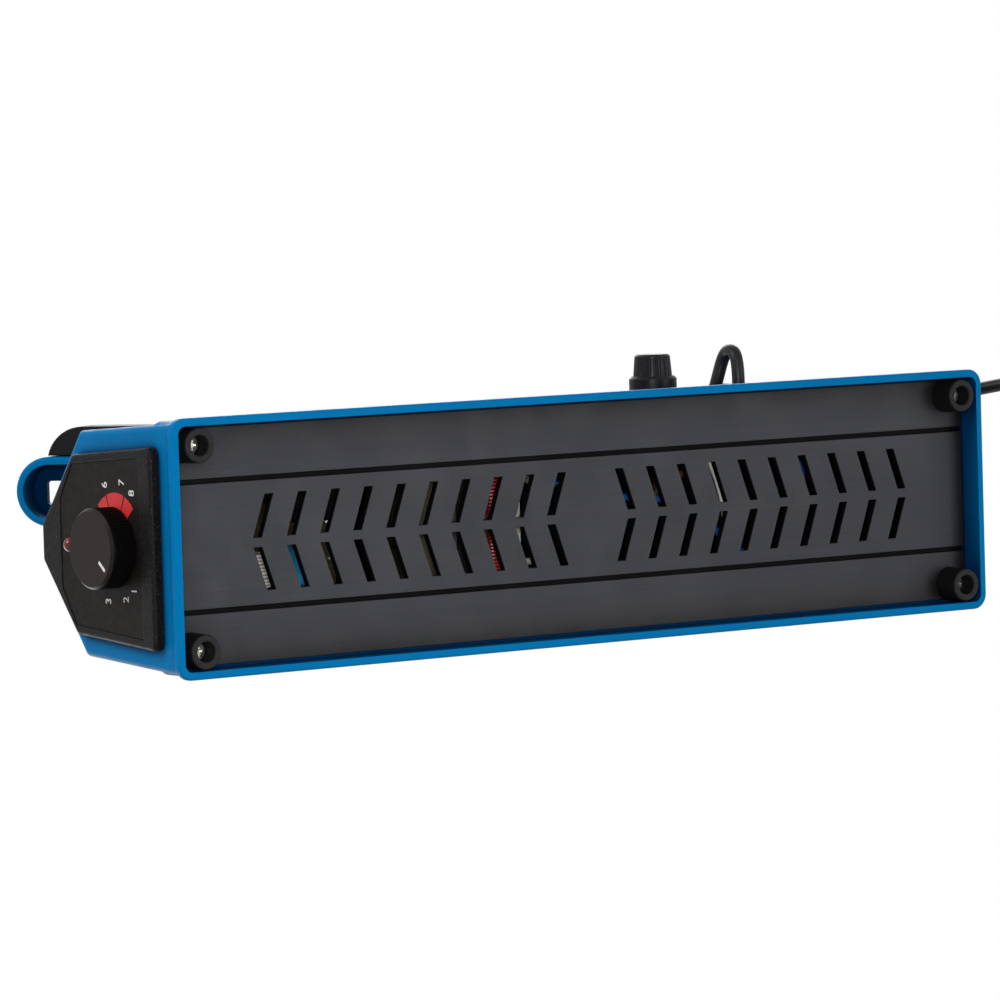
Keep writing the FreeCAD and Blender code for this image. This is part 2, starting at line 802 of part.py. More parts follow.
def make_fuse_cap():
    start = fuse_ring_out - fuse_ring_recess + slide_gap
    end = start + fuse_cap_length
    cap = cone((fuse_x, start, fuse_z), (0, 1, 0), fuse_cap_diameter, fuse_cap_end_diameter, fuse_cap_length)
    cap = cap.makeChamfer(fuse_cap_chamfer, [e for e in cap.Edges if e.BoundBox.YMin > end - tiny])
    lean = math.degrees(math.atan((fuse_cap_diameter - fuse_cap_end_diameter) / 2 / fuse_cap_length))
    edge_z = fuse_z + fuse_cap_diameter / 2
    for index in range(fuse_cap_rib_count):
        cutter = rod((fuse_x, start - overcut, edge_z), (0, 1, 0), 2 * fuse_cap_rib_depth,
                     fuse_cap_length + overcut - fuse_cap_rib_stop)
        cutter.rotate(Vector(fuse_x, start, edge_z), Vector(1, 0, 0), -lean)
        cutter.rotate(Vector(fuse_x, 0, fuse_z), Vector(0, 1, 0), 360 * index / fuse_cap_rib_count)
        cap = cap.cut(cutter)
    neck_y = start - fuse_cap_neck_length
    neck = rod((fuse_x, neck_y, fuse_z), (0, 1, 0), fuse_cap_neck, fuse_cap_neck_length)
    seat = rod((fuse_x, neck_y, fuse_z), (0, 1, 0), fuse_diameter, fuse_cap_seat)
    reach = fuse_cap_slot_length / 2
    half = fuse_cap_slot_width / 2
    slot = box(fuse_x - reach, fuse_x + reach, end - fuse_cap_slot_depth, end + overcut, fuse_z - half,
               fuse_z + half)
    fuse = rod((fuse_x, neck_y + fuse_cap_seat, fuse_z), (0, -1, 0), fuse_diameter, fuse_length)
    return cut_all(cap.fuse(neck), [seat, slot]), fuse


def make_bushing():
    inside = inside_y - bushing_in
    neck = rod((bushing_x, inside, bushing_z), (0, 1, 0), bushing_neck_diameter, bushing_out - inside)
    flange = cone((bushing_x, side_y, bushing_z), (0, 1, 0), bushing_base_diameter, bushing_flange_diameter,
                  bushing_proud)
    grip = rod((bushing_x, inside, bushing_z), (0, 1, 0), bushing_grip_diameter, bushing_in)
    return fuse_all([neck, flange, grip])


# Sealing bed: bakelite base, heating strip, slippery cover, its clamps and screws
def make_bed():
    half = bed_length / 2
    base = box(bed_centre_x - half, bed_centre_x + half, -bed_width / 2, bed_width / 2, top_z, bed_z)
    base = rounded(base, bed_round, lambda e: along(e, (1, 0, 0)) and e.BoundBox.ZMin > bed_z - tiny)
    element_half = element_length / 2
    flat = box(bed_centre_x - element_half, bed_centre_x + element_half, -element_width / 2,
               element_width / 2, bed_z, bed_z + element_thickness)
    screw_path = bed_width + 2 * strip_width
    base = cut_all(base, [rod((x, -screw_path, z), (0, 1, 0), strip_screw, 2 * screw_path)
                          for x, z in strip_spots()])
    tails = []
    clamps = []
    for side, at in zip((-1, 1), clamp_spots()):
        outer = bed_centre_x + side * element_half
        inner = outer - side * element_thickness
        tails.append(box(min(outer, inner), max(outer, inner), -element_width / 2, element_width / 2,
                         top_z + element_lift, bed_z + element_thickness))
        block = box(at - clamp_length / 2, at + clamp_length / 2, -clamp_width / 2, clamp_width / 2, top_z,
                    top_z + clamp_height)
        clamps.append(block.cut(rod((at, 0, top_z), (0, 0, 1), small_screw, clamp_height)))
    return base, fuse_all([flat] + tails), Part.makeCompound(clamps)


def make_bed_cover():
    half = cover_length / 2
    wide = bed_width / 2 + slide_gap
    outer = wide + cover_thickness
    low = bed_z - cover_drop
    roof = bed_z + element_thickness
    cover = box(bed_centre_x - half, bed_centre_x + half, -outer, outer, low, roof + cover_thickness)
    cover = cover.cut(box(bed_centre_x - half, bed_centre_x + half, -wide, wide, low, roof))
    strips = []
    screws = []
    reach = strip_length / 2
    for side in (-1, 1):
        y0 = side * outer
        y1 = side * (outer + strip_width)
        strip = box(bed_centre_x - reach, bed_centre_x + reach, min(y0, y1), max(y0, y1), bed_z - cover_drop,
                    bed_z - cover_drop + strip_height)
        screw_length = strip_width + cover_thickness + slide_gap + strip_screw_bite
        for x, z in strip_spots():
            hole = rod((x, 0, z), (0, side, 0), strip_screw, outer + strip_width)
            strip = strip.cut(hole)
            cover = cover.cut(hole)
            screws.append(pan_screw((x, y1, z), (0, -side, 0), strip_screw_head, strip_screw_head_height,
                                    strip_screw, screw_length))
        strips.append(strip)
    return cover, Part.makeCompound(strips), screws


# Hinge bracket, pin and return spring
def make_bracket():
    inner = arm_width / 2 + free_gap
    outer = inner + cheek_thickness
    half = bracket_length / 2
    base = box(hinge_x - half, hinge_x + half, -outer, outer, top_z, top_z + bracket_plate)
    cheeks = []
    for side in (-1, 1):
        y0 = min(side * inner, side * outer)
        flat = box(hinge_x - cheek_round, hinge_x + cheek_round, y0, y0 + cheek_thickness, top_z, hinge_z)
        round_top = rod((hinge_x, y0, hinge_z), (0, 1, 0), 2 * cheek_round, cheek_thickness)
        cheeks.append(flat.fuse(round_top))
    bracket = fuse_all([base] + cheeks)
    holes = [rod((x, 0, top_z - overcut), (0, 0, 1), small_screw, bracket_plate + 2 * overcut)
             for x in bracket_screw_spots()]
    holes.append(rod((hinge_x, -2 * outer, hinge_z), (0, 1, 0), pin_diameter, 4 * outer))
    screws = [pan_screw((x, 0, top_z + bracket_plate), (0, 0, -1), small_screw_head, small_screw_head_height,
                        small_screw, bracket_plate + deck_screw_bite) for x in bracket_screw_spots()]
    return cut_all(bracket, holes), screws, outer


def make_pin(outer):
    length = 2 * outer + running_fit + clip_thickness + pin_end
    pin = rod((hinge_x, -outer, hinge_z), (0, 1, 0), pin_diameter, length)
    head = rod((hinge_x, -outer - pin_head_height, hinge_z), (0, 1, 0), pin_head_diameter, pin_head_height)
    groove_y = outer + running_fit
    groove = rod((hinge_x, groove_y, hinge_z), (0, 1, 0), pin_diameter + overcut, clip_thickness)
    neck = rod((hinge_x, groove_y, hinge_z), (0, 1, 0), pin_diameter - 2 * clip_groove, clip_thickness)
    clip = rod((hinge_x, groove_y, hinge_z), (0, 1, 0), clip_diameter, clip_thickness)
    mouth = box(hinge_x, hinge_x + clip_diameter, groove_y, groove_y + clip_thickness,
                hinge_z - clip_mouth / 2, hinge_z + clip_mouth / 2)
    clip = cut_all(clip, [neck, mouth])
    return pin.fuse(head).cut(groove.cut(neck)), clip


def spring_place(t):
    start = math.radians(-spring_base_slope)
    end = math.radians(360 * spring_turns - open_angle - spring_arm_lean)
    angle = start + (end - start) * t
    y = spring_pitch * spring_turns * (t - 0.5)
    reach = spring_coil / 2
    return Vector(hinge_x + reach * math.sin(angle), y, hinge_z + reach * math.cos(angle))


def make_spring():
    slope = math.radians(spring_base_slope)
    lean = math.radians(open_angle + spring_arm_lean)
    start = spring_place(0)
    end = spring_place(1)
    rest_z = top_z + bracket_plate + slide_gap + spring_wire / 2
    base_leg = (start.z - rest_z) / math.sin(slope)
    out = Vector(math.cos(slope), 0, math.sin(slope))
    on = Vector(math.cos(lean), 0, math.sin(lean))
    foot = start - out * base_leg
    edges = [Part.LineSegment(foot, start).toShape()]
    edges += curve_edges(spring_place, 4 * spring_turns, out, on)
    edges.append(Part.LineSegment(end, end + on * spring_arm_leg).toShape())
    shape, length = tube(edges, foot, out, spring_wire)
    print("return_spring least gap", round(self_gap(spring_place, spring_wire, length), 2))
    return shape


# Lever arm with its handle loop, black cover, press bar and silicone strip, drawn closed
def make_arm():
    half = arm_width / 2
    channel = arm_box(-arm_heel, arm_reach - half, -half, half, 0, arm_height)
    nose = rod((hinge_x + arm_reach - half, 0, hinge_z), (0, 0, 1), arm_width, arm_height)
    ears = [rod((hinge_x, y, hinge_z), (0, 1, 0), 2 * ear_round, arm_wall) for y in (-half, half - arm_wall)]
    blank = channel.fuse(nose).removeSplitter()
    blank = rounded(blank, handle_round, lambda e: e.BoundBox.ZMax < hinge_z + tiny
                    and e.BoundBox.XMax > hinge_x + arm_reach - arm_width)
    hollow = arm_box(-arm_heel - overcut, arm_reach - handle_length, arm_wall - half, half - arm_wall,
                     -overcut, arm_height - arm_web)
    grip_half = half - handle_wall
    grip = arm_box(arm_reach - handle_length + arm_wall, arm_reach - half, -grip_half, grip_half,
                   -overcut, arm_height - arm_web)
    grip = grip.fuse(rod((hinge_x + arm_reach - half, 0, hinge_z - overcut), (0, 0, 1), 2 * grip_half,
                         arm_height - arm_web + overcut))
    low = handle_slot_shift - handle_slot_width / 2
    slot = arm_box(handle_slot_start, handle_slot_end, low, low + handle_slot_width, -overcut,
                   arm_height + overcut)
    slot = rounded(slot, handle_slot_round, lambda e: along(e, (0, 0, 1)))
    arm = fuse_all([cut_all(blank, [hollow, grip])] + ears)
    pin_hole = rod((hinge_x, -arm_width, hinge_z), (0, 1, 0), pin_diameter + 2 * running_fit, 2 * arm_width)
    screw_holes = [rod((hinge_x + s, 0, hinge_z), (0, 0, 1), arm_screw_diameter, 2 * arm_height)
                   for s in arm_screw_spots]
    return cut_all(arm, [slot, pin_hole] + screw_holes)


def make_arm_cover():
    half = cover_width / 2
    top = arm_height + cover_shell
    cover = arm_box(-cover_heel, cover_front, -half, half, cover_skirt_start, top)
    cover = rounded(cover, cover_corner, lambda e: along(e, (0, 0, 1)) and e.BoundBox.XMin > hinge_x)
    cover = rounded(cover, cover_corner / 2, lambda e: along(e, (0, 0, 1)) and e.BoundBox.XMax < hinge_x)
    cover = rounded(cover, cover_round, lambda e: e.BoundBox.ZMin > hinge_z + top - tiny)
    inside = arm_box(cover_shell - cover_heel, cover_front - cover_nose, cover_shell - half,
                     half - cover_shell, cover_skirt_start - overcut, arm_height)
    mouth_half = arm_width / 2 + slide_gap
    mouth = arm_box(-cover_heel - overcut, cover_front + overcut, -mouth_half, mouth_half,
                    cover_skirt_start - overcut, arm_height)
    notch_half = handle_slot_width / 2 + cover_notch_margin
    notch = arm_box(handle_slot_start - cover_notch_margin, cover_front + overcut,
                    handle_slot_shift - notch_half, handle_slot_shift + notch_half, 0, top + overcut)
    holes = [rod((hinge_x + s, 0, hinge_z), (0, 0, 1), arm_screw_diameter, 2 * arm_height)
             for s in arm_screw_spots]
    return cut_all(cover, [inside, mouth, notch] + holes)


def make_press_bar():
    half = bar_width / 2
    bar = arm_box(bar_start, bar_end, -half, half, -bar_drop, arm_height - arm_web)
    bar = rounded(bar, bar_round, lambda e: along(e, (1, 0, 0)) and e.BoundBox.ZMax < hinge_z)
    bottom = cover_z + seal_gap
    strip_half = silicone_width / 2
    strip = box(hinge_x + bar_start, hinge_x + silicone_end, -strip_half, strip_half, bottom,
                hinge_z - bar_drop + silicone_depth)
    strip = rounded(strip, silicone_round, lambda e: along(e, (1, 0, 0)) and e.BoundBox.ZMax < bottom + tiny)
    groove = arm_box(bar_start, silicone_end, -strip_half, strip_half, -bar_drop, silicone_depth - bar_drop)
    reach = arm_screw_length - cover_shell
    holes = [rod((hinge_x + s, 0, hinge_z + arm_height - reach), (0, 0, 1), arm_screw_diameter, 2 * reach)
             for s in arm_screw_spots]
    screws = [pan_screw((hinge_x + s, 0, hinge_z + arm_height + cover_shell), (0, 0, -1), arm_screw_head,
                        arm_screw_head_height, arm_screw_diameter, arm_screw_length)
              for s in arm_screw_spots]
    return cut_all(bar, [groove] + holes), strip, Part.makeCompound(screws)


# Switch under the deck, pressed through its plunger
def make_switch():
    collar_z = top_z - wall - slide_gap - plunger_collar_height
    stem = rod((plunger_x, 0, collar_z), (0, 0, 1), plunger_diameter, plunger_top - collar_z)
    stem = rounded(stem, plunger_round, lambda e: e.BoundBox.ZMin > plunger_top - tiny)
    collar = rod((plunger_x, 0, collar_z), (0, 0, 1), plunger_collar, plunger_collar_height)
    foot_z = collar_z - plunger_stroke - slide_gap
    half = switch_length / 2
    under_z = foot_z - switch_height
    body = box(plunger_x - half, plunger_x + half, -switch_width / 2, switch_width / 2, under_z, foot_z)
    tabs = []
    for x in (-switch_tab_pitch, 0, switch_tab_pitch):
        x0 = plunger_x + x - switch_tab_thickness / 2
        tabs.append(box(x0, x0 + switch_tab_thickness, -switch_tab_width / 2, switch_tab_width / 2,
                        under_z - switch_tab_length, under_z))
    plate_x = plunger_x - half
    hanger = box(plate_x - switch_bracket_plate, plate_x, -switch_width, switch_width, under_z, top_z - wall)
    ear = box(plate_x - switch_bracket_ear, plate_x, -switch_width, switch_width,
              top_z - wall - switch_bracket_plate, top_z - wall)
    return fuse_all([stem, collar]), fuse_all([body] + tabs), fuse_all([hanger, ear])


# Transformer: laminated core, taped winding, open secondary winding and a strap frame
def winding_block(x0, x1, half_y, z0, z1):
    block = box(x0, x1, -half_y, half_y, z0, z1)
    return rounded(block, winding_round, lambda e: along(e, (1, 0, 0)))


def make_transformer():
    high_z = core_z + core_height
    core = box(core_back_x, core_front_x, -core_width / 2, core_width / 2, core_z, high_z)
    window = (core_width - 4 * core_leg) / 2
    for side in (-1, 1):
        y0 = side * core_leg
        y1 = side * (core_leg + window)
        core = core.cut(box(core_back_x - overcut, core_front_x + overcut, min(y0, y1), max(y0, y1),
                            core_z + core_yoke, high_z - core_yoke))
    half_y = core_leg + window - free_gap
    low = core_z - inside_lift / 2
    high = high_z - core_yoke - free_gap
    taped = winding_block(core_front_x + free_gap, core_front_x + winding_end, half_y, low, high)
    spool = winding_block(spool_x, core_back_x - free_gap, half_y - secondary_wire, low + secondary_wire,
                          high - secondary_wire)
    return core, taped, spool, make_secondary(low, high)


def make_secondary(low, high):
    turns = []
    x = spool_x - secondary_wire / 2 - running_fit
    length = high - low - 2 * winding_round
    for index in range(secondary_turns):
        y = (index - (secondary_turns - 1) / 2) * secondary_pitch
        turns.append(rod((x, y, low + winding_round), (0, 0, 1), secondary_wire, length))
    return Part.makeCompound(turns)


def make_frame():
    reach = core_width / 2 + slide_gap
    x0 = core_back_x + frame_inset
    x1 = core_front_x - frame_inset
    top = core_z + core_height + slide_gap
    strap = box(x0, x1, -reach - frame_plate, reach + frame_plate, floor_z, top + frame_plate)
    strap = strap.cut(box(x0 - overcut, x1 + overcut, -reach, reach, floor_z - overcut, top))
    seat = box(x0, x1, -reach, reach, core_z - frame_plate, core_z)
    return fuse_all([strap, seat])


# Circuit board on posts, with the parts that show through the slots
def make_board():
    board = box(board_x - board_length / 2, board_x + board_length / 2, -board_width / 2, board_width / 2,
                board_z, board_z + board_thickness)
    posts = []
    for sx in (-1, 1):
        for sy in (-1, 1):
            x = board_x + sx * (board_length / 2 - post_diameter)
            posts.append(rod((x, sy * post_y, floor_z), (0, 0, 1), post_diameter, board_lift))
    return board, Part.makeCompound(posts)


def make_capacitor():
    lead = capacitor_drop + capacitor_diameter / 2
    disc = rod((capacitor_x - capacitor_thickness / 2, capacitor_y, board_z - lead), (1, 0, 0),
               capacitor_diameter, capacitor_thickness)
    disc = rounded(disc, capacitor_round, lambda e: isinstance(e.Curve, Part.Circle))
    leads = [rod((capacitor_x, capacitor_y + side * capacitor_lead_pitch / 2, board_z - lead), (0, 0, 1),
                 lead_diameter, lead) for side in (-1, 1)]
    return fuse_all([disc] + leads)


def make_resistor():
    low = board_z - block_length
    block = rod((block_x, block_y, low), (0, 0, 1), block_diameter - 2 * block_rib_depth, block_length)
    pitch = block_length / block_rib_count
    ribs = [rod((block_x, block_y, low + pitch * (index + 0.25)), (0, 0, 1), block_diameter, pitch / 2)
            for index in range(block_rib_count)]
    return fuse_all([block] + ribs)


def make_relay():
    return box(relay_x - relay_length / 2, relay_x + relay_length / 2, relay_y - relay_width / 2,
               relay_y + relay_width / 2, board_z - relay_height, board_z)


# Wires inside the body, from the bushing to the fuse, the transformer and back
wire_start_y = inside_y - bushing_in
fuse_back_y = side_y - fuse_body_depth
brown_route = [
    (bushing_x + 1.4, wire_start_y, bushing_z + 0.8),
    (bushing_x + 1.4, 19.5, bushing_z + 0.8),
    (-89.0, 14.0, 47.0),
    (-76.0, 11.5, 35.0),
    (-61.0, 13.2, 22.0),
    (-49.0, 12.8, 15.6),
    (-39.5, 9.0, 16.4),
    (-38.5, 2.0, 22.0),
    (fuse_x + 2.0, -1.5, 29.0),
    (fuse_x, 3.0, fuse_z),
    (fuse_x, fuse_back_y, fuse_z),
]
blue_route = [
    (bushing_x - 1.4, wire_start_y, bushing_z - 0.8),
    (bushing_x - 1.4, 19.5, bushing_z - 0.8),
    (-99.0, 15.0, 41.0),
    (-98.0, 14.0, 27.0),
    (-95.0, 11.0, 16.5),
    (-93.4, -1.0, 15.0),
    (-91.5, -13.0, 15.2),
    (-80.0, -19.5, 15.4),
    (-64.0, -14.5, 15.2),
    (-52.0, -2.5, 15.0),
    (-38.0, 3.5, 15.4),
    (-20.0, 5.0, 17.5),
    (-4.0, 9.5, 26.0),
    (8.0, 14.0, 34.0),
    (spool_x, 14.0, 34.0),
]
white_route = [
    (spool_x, -14.0, 24.0),
    (13.0, -14.0, 24.0),
    (10.5, -13.0, 17.5),
    (15.0, -7.0, 14.4),
    (16.4, 2.0, 14.4),
    (12.5, 10.0, 16.5),
    (11.5, 13.5, 26.0),
    (spool_x, 13.5, 26.0),
]


# Mains cord: the fold at the bushing, the run along the ledge, the coil, tie and plug
coil_z = coil_lift + tie_thickness + cord_radius
cord_route = [
    (bushing_x, bushing_out, bushing_z),
    (bushing_x, side_y + 12.6, bushing_z),
    (bushing_x - 0.5, side_y + 15.6, bushing_z + 4.5),
    (bushing_x - 1.3, side_y + 13.4, bushing_z + 9.5),
    (bushing_x + 0.8, side_y + 3.2, bushing_z + 11.4),
    (bushing_x + 0.9, side_y - 4.4, shoulder_z + 8.4),
    (bushing_x - 3.2, side_y - 9.5, shoulder_z + 13.3),
    (bushing_x - 10.3, side_y - 12.4, shoulder_z + 16.2),
    (-118.0, side_y - 12.7, shoulder_z + 16.4),
    (-138.0, side_y - 11.8, shoulder_z + 15.6),
    (-157.0, side_y - 10.2, shoulder_z + 14.7),
    (-170.0, 24.7, 69.6),
    (-180.0, 27.5, 57.0),
    (-186.5, 30.3, 41.5),
    (-191.0, 33.0, 26.0),
    (-196.5, 35.2, 13.5),
    (-205.0, coil_radius, coil_z + 1.6),
    (-212.0, coil_radius, coil_z),
    (coil_x + cord_diameter, coil_radius, coil_z),
]


def coil_place(t):
    total = coil_turns + 0.5 + coil_exit_turns
    turn = t * total
    inner = coil_radius - coil_pitch * (coil_turns + 0.25)
    reach = inner + coil_pitch * abs(turn - coil_turns - 0.25)
    climb = min(1.0, max(0.0, (turn - coil_turns) * 2))
    rise = coil_pitch * (1 - math.cos(math.pi * climb)) / 2
    angle = math.pi / 2 + 2 * math.pi * turn
    return Vector(coil_x + reach * math.cos(angle), reach * math.sin(angle), coil_z + rise)


def make_coil():
    total = coil_turns + 0.5 + coil_exit_turns
    start = coil_place(0)
    end = coil_place(1)
    lead_in = Vector(coil_x + cord_diameter, coil_radius, coil_z)
    lead_out = end + Vector(0, -cord_diameter, 0)
    edges = [Part.LineSegment(lead_in, start).toShape()]
    edges += curve_edges(coil_place, int(total * 4), Vector(-1, 0, 0), Vector(0, -1, 0))
    edges.append(Part.LineSegment(end, lead_out).toShape())
    shape, length = tube(edges, lead_in, Vector(-1, 0, 0), cord_diameter)
    section = math.pi * cord_radius ** 2
    gap = self_gap(coil_place, cord_diameter, length)
    print("cord_coil length", round(length, 1), "least gap", round(gap, 2), "volume ratio",
          round(shape.Volume / (section * length), 4))
    return shape, lead_out


def make_tie():
    behind = (tie_angle - 90) / 360
    outer = coil_radius - coil_pitch * behind + cord_radius + free_gap
    inner = coil_radius - coil_pitch * (coil_turns + 0.25) - cord_radius - free_gap
    low = coil_z - cord_radius - free_gap
    high = coil_z + coil_pitch + cord_radius + free_gap
    band = box(inner - tie_thickness, outer + tie_thickness, -tie_width / 2, tie_width / 2,
               low - tie_thickness, high + tie_thickness)
    band = rounded(band, tie_round, lambda e: along(e, (0, 1, 0)))
    band = band.cut(box(inner, outer, -tie_width, tie_width, low, high))
    band.rotate(Vector(), Vector(0, 0, 1), tie_angle)
    band.translate(Vector(coil_x, 0, 0))
    return band


def make_plug(lead_out):
    back = lead_out.y - plug_lead
    x = lead_out.x
    mid = plug_height / 2 + slide_gap
    front = back - plug_neck_length - plug_length
    body = box(x - plug_width / 2, x + plug_width / 2, front, front + plug_length, mid - plug_height / 2,
               mid + plug_height / 2)
    rear = front + plug_length
    body = rounded(body, plug_round, lambda e: along(e, (0, 1, 0)) or e.BoundBox.YMin > rear - tiny)
    neck = cone((x, rear, mid), (0, 1, 0), plug_neck_base, plug_neck_diameter, plug_neck_length)
    slots = []
    for side in (-1, 1):
        middle = x + side * blade_pitch / 2
        slots.append(box(middle - blade_thickness / 2, middle + blade_thickness / 2, front - blade_length,
                         front + blade_root, mid - blade_width / 2, mid + blade_width / 2))
    plug = cut_all(fuse_all([body, neck]), slots)
    tip = front - blade_length
    blades = [rounded(slot, blade_round, lambda e: e.BoundBox.YMax < tip + tiny) for slot in slots]
    lead = [tuple(lead_out), (x, lead_out.y - plug_lead_straight, lead_out.z),
            (x, back + plug_lead_straight, mid), (x, back, mid)]
    return plug, Part.makeCompound(blades), corded("plug_lead", lead, cord_diameter)


nodes["body_shell"] = make_shell()
nodes["bottom_plate"] = make_plate()
nodes["rubber_feet"], nodes["foot_screws"] = make_feet()
nodes["control_panel"] = make_panel()
nodes["dial_label"] = make_dial_label()
nodes["time_knob"] = make_knob()
nodes["knob_pointer"] = pointer_bar()
nodes["potentiometer"], nodes["potentiometer_shaft"], nodes["potentiometer_nut"] = make_potentiometer()
nodes["indicator_lamp"] = make_lamp()
nodes["fuse_holder"] = make_fuse_holder()
nodes["fuse_cap"], nodes["glass_fuse"] = make_fuse_cap()
nodes["cord_bushing"] = make_bushing()
nodes["sealing_bed"], nodes["heating_element"], nodes["element_clamps"] = make_bed()
nodes["bed_cover"], nodes["cover_strips"], strip_screws = make_bed_cover()
nodes["hinge_bracket"], bracket_screws, cheek_outer = make_bracket()
nodes["hinge_pin"], nodes["pin_clip"] = make_pin(cheek_outer)
clamp_screws = [pan_screw((x, 0, top_z + clamp_height), (0, 0, -1), small_screw_head,
                          small_screw_head_height, small_screw, clamp_height + deck_screw_bite)
                for x in clamp_spots()]
nodes["deck_screws"] = Part.makeCompound(strip_screws + bracket_screws + clamp_screws)
nodes["return_spring"] = make_spring()
nodes["lever_arm"] = swing_open(make_arm())
nodes["arm_cover"] = swing_open(make_arm_cover())
press_bar, silicone, arm_screws = make_press_bar()
nodes["press_bar"] = swing_open(press_bar)
nodes["silicone_strip"] = swing_open(silicone)
nodes["arm_screws"] = swing_open(arm_screws)
nodes["switch_plunger"], nodes["micro_switch"], nodes["switch_bracket"] = make_switch()
core, taped, spool, turns = make_transformer()
nodes["transformer_core"] = core
nodes["primary_winding"] = taped
nodes["winding_spool"] = spool
nodes["secondary_winding"] = turns
nodes["transformer_frame"] = make_frame()
nodes["circuit_board"], nodes["board_posts"] = make_board()
nodes["disc_capacitor"] = make_capacitor()
nodes["ribbed_resistor"] = make_resistor()
nodes["relay"] = make_relay()
for colour, route in (("brown", brown_route), ("blue", blue_route), ("white", white_route)):
    nodes[colour + "_wire"] = corded(colour + "_wire", route, wire_diameter)
nodes["power_cord"] = corded("power_cord", cord_route, cord_diameter)
nodes["cord_coil"], coil_end = make_coil()
nodes["cord_tie"] = make_tie()
nodes["plug_body"], nodes["plug_blades"], nodes["plug_lead"] = make_plug(coil_end)

os.makedirs("parts", exist_ok=True)
for name, shape in nodes.items():
    state = "valid" if shape.isValid() else "INVALID"
    print(name, state, "solids", len(shape.Solids), "volume", round(shape.Volume, 1))
    shape.exportStep("parts/" + name + ".step")
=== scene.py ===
import math
import bpy
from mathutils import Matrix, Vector


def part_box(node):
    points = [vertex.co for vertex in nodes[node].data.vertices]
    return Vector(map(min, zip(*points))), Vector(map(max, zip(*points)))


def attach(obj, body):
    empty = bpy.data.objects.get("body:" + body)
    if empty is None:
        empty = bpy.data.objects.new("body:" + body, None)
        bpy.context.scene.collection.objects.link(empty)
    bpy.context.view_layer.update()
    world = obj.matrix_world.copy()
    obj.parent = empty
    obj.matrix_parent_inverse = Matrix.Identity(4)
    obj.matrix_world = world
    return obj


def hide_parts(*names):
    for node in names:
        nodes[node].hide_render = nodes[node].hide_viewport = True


# Impulse heat sealer: looks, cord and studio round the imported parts
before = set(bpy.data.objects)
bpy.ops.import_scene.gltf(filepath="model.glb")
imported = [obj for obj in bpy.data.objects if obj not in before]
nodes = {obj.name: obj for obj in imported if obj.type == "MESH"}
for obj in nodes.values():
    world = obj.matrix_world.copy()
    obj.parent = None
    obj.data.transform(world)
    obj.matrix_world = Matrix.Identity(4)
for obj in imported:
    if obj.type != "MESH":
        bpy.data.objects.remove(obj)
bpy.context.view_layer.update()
print("frame loaded with", len(nodes), "nodes")


# Camera below the front corner, looking up at the bottom plate
photoCamera = {
    "place": (1.156895, 0.127454, -1.567187),
    "turn": (177.6826, 35.5813, -177.8902),
    "lens": 220.74,
    "sensor": 36.0,
    "clip": (0.05, 50.0),
}


def addCamera():
    lens = bpy.data.cameras.new("photoCamera")
    camera = bpy.data.objects.new("photoCamera", lens)
    bpy.context.scene.collection.objects.link(camera)
    camera.location = photoCamera["place"]
    camera.rotation_euler = [math.radians(angle) for angle in photoCamera["turn"]]
    lens.lens = photoCamera["lens"]
    lens.sensor_width = photoCamera["sensor"]
    lens.clip_start, lens.clip_end = photoCamera["clip"]
    bpy.context.scene.camera = camera


addCamera()
print("camera placed")


# Small helpers for modelling
def deselectAll():
    bpy.ops.object.select_all(action="DESELECT")


def makeActive(piece):
    deselectAll()
    piece.select_set(True)
    bpy.context.view_layer.objects.active = piece


def settle(piece, name, material, body):
    makeActive(piece)
    bpy.ops.object.transform_apply(location=True, rotation=True, scale=True)
    piece.name = name
    piece.data.name = name
    piece.data.materials.clear()
    piece.data.materials.append(material)
    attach(piece, body)


def joinPieces(pieces):
    deselectAll()
    for piece in pieces:
        piece.select_set(True)
    bpy.context.view_layer.objects.active = pieces[0]
    bpy.ops.object.join()
    return bpy.context.object


# Node helpers: each returns the socket that the next one reads
def newMaterial(name):
    material = bpy.data.materials.new(name)
    material.use_nodes = True
    tree = material.node_tree
    return material, tree, tree.nodes["Principled BSDF"]


def addNode(tree, kind, sockets=None, **settings):
    made = tree.nodes.new(kind)
    for key, value in settings.items():
        setattr(made, key, value)
    for key, value in (sockets or {}).items():
        made.inputs[key].default_value = value
    return made


def setShader(shader, **values):
    names = {"metal": "Metallic", "rough": "Roughness", "specular": "Specular IOR Level",
             "coat": "Coat Weight", "coatRough": "Coat Roughness", "clear": "Transmission Weight",
             "ior": "IOR"}
    for key, value in values.items():
        shader.inputs[names[key]].default_value = value


def objectPoints(tree, scale=(1, 1, 1)):
    coords = addNode(tree, "ShaderNodeTexCoord")
    mapping = addNode(tree, "ShaderNodeMapping", {"Scale": scale})
    tree.links.new(coords.outputs["Object"], mapping.inputs["Vector"])
    return mapping.outputs["Vector"]


def noise(tree, points, scale, detail, rough=0.5):
    made = addNode(tree, "ShaderNodeTexNoise", {"Scale": scale, "Detail": detail, "Roughness": rough})
    tree.links.new(points, made.inputs["Vector"])
    return made.outputs["Fac"]


wholeSpan = (0.0, 1.0)


def remap(tree, value, span, newSpan=wholeSpan):
    made = addNode(tree, "ShaderNodeMapRange", {"From Min": span[0], "From Max": span[1],
                                               "To Min": newSpan[0], "To Max": newSpan[1]})
    tree.links.new(value, made.inputs["Value"])
    return made.outputs["Result"]


def calculate(tree, operation, first, second):
    made = addNode(tree, "ShaderNodeMath", operation=operation)
    for socket, value in zip(made.inputs, (first, second)):
        if isinstance(value, (int, float)):
            socket.default_value = value
        else:
            tree.links.new(value, socket)
    return made.outputs["Value"]


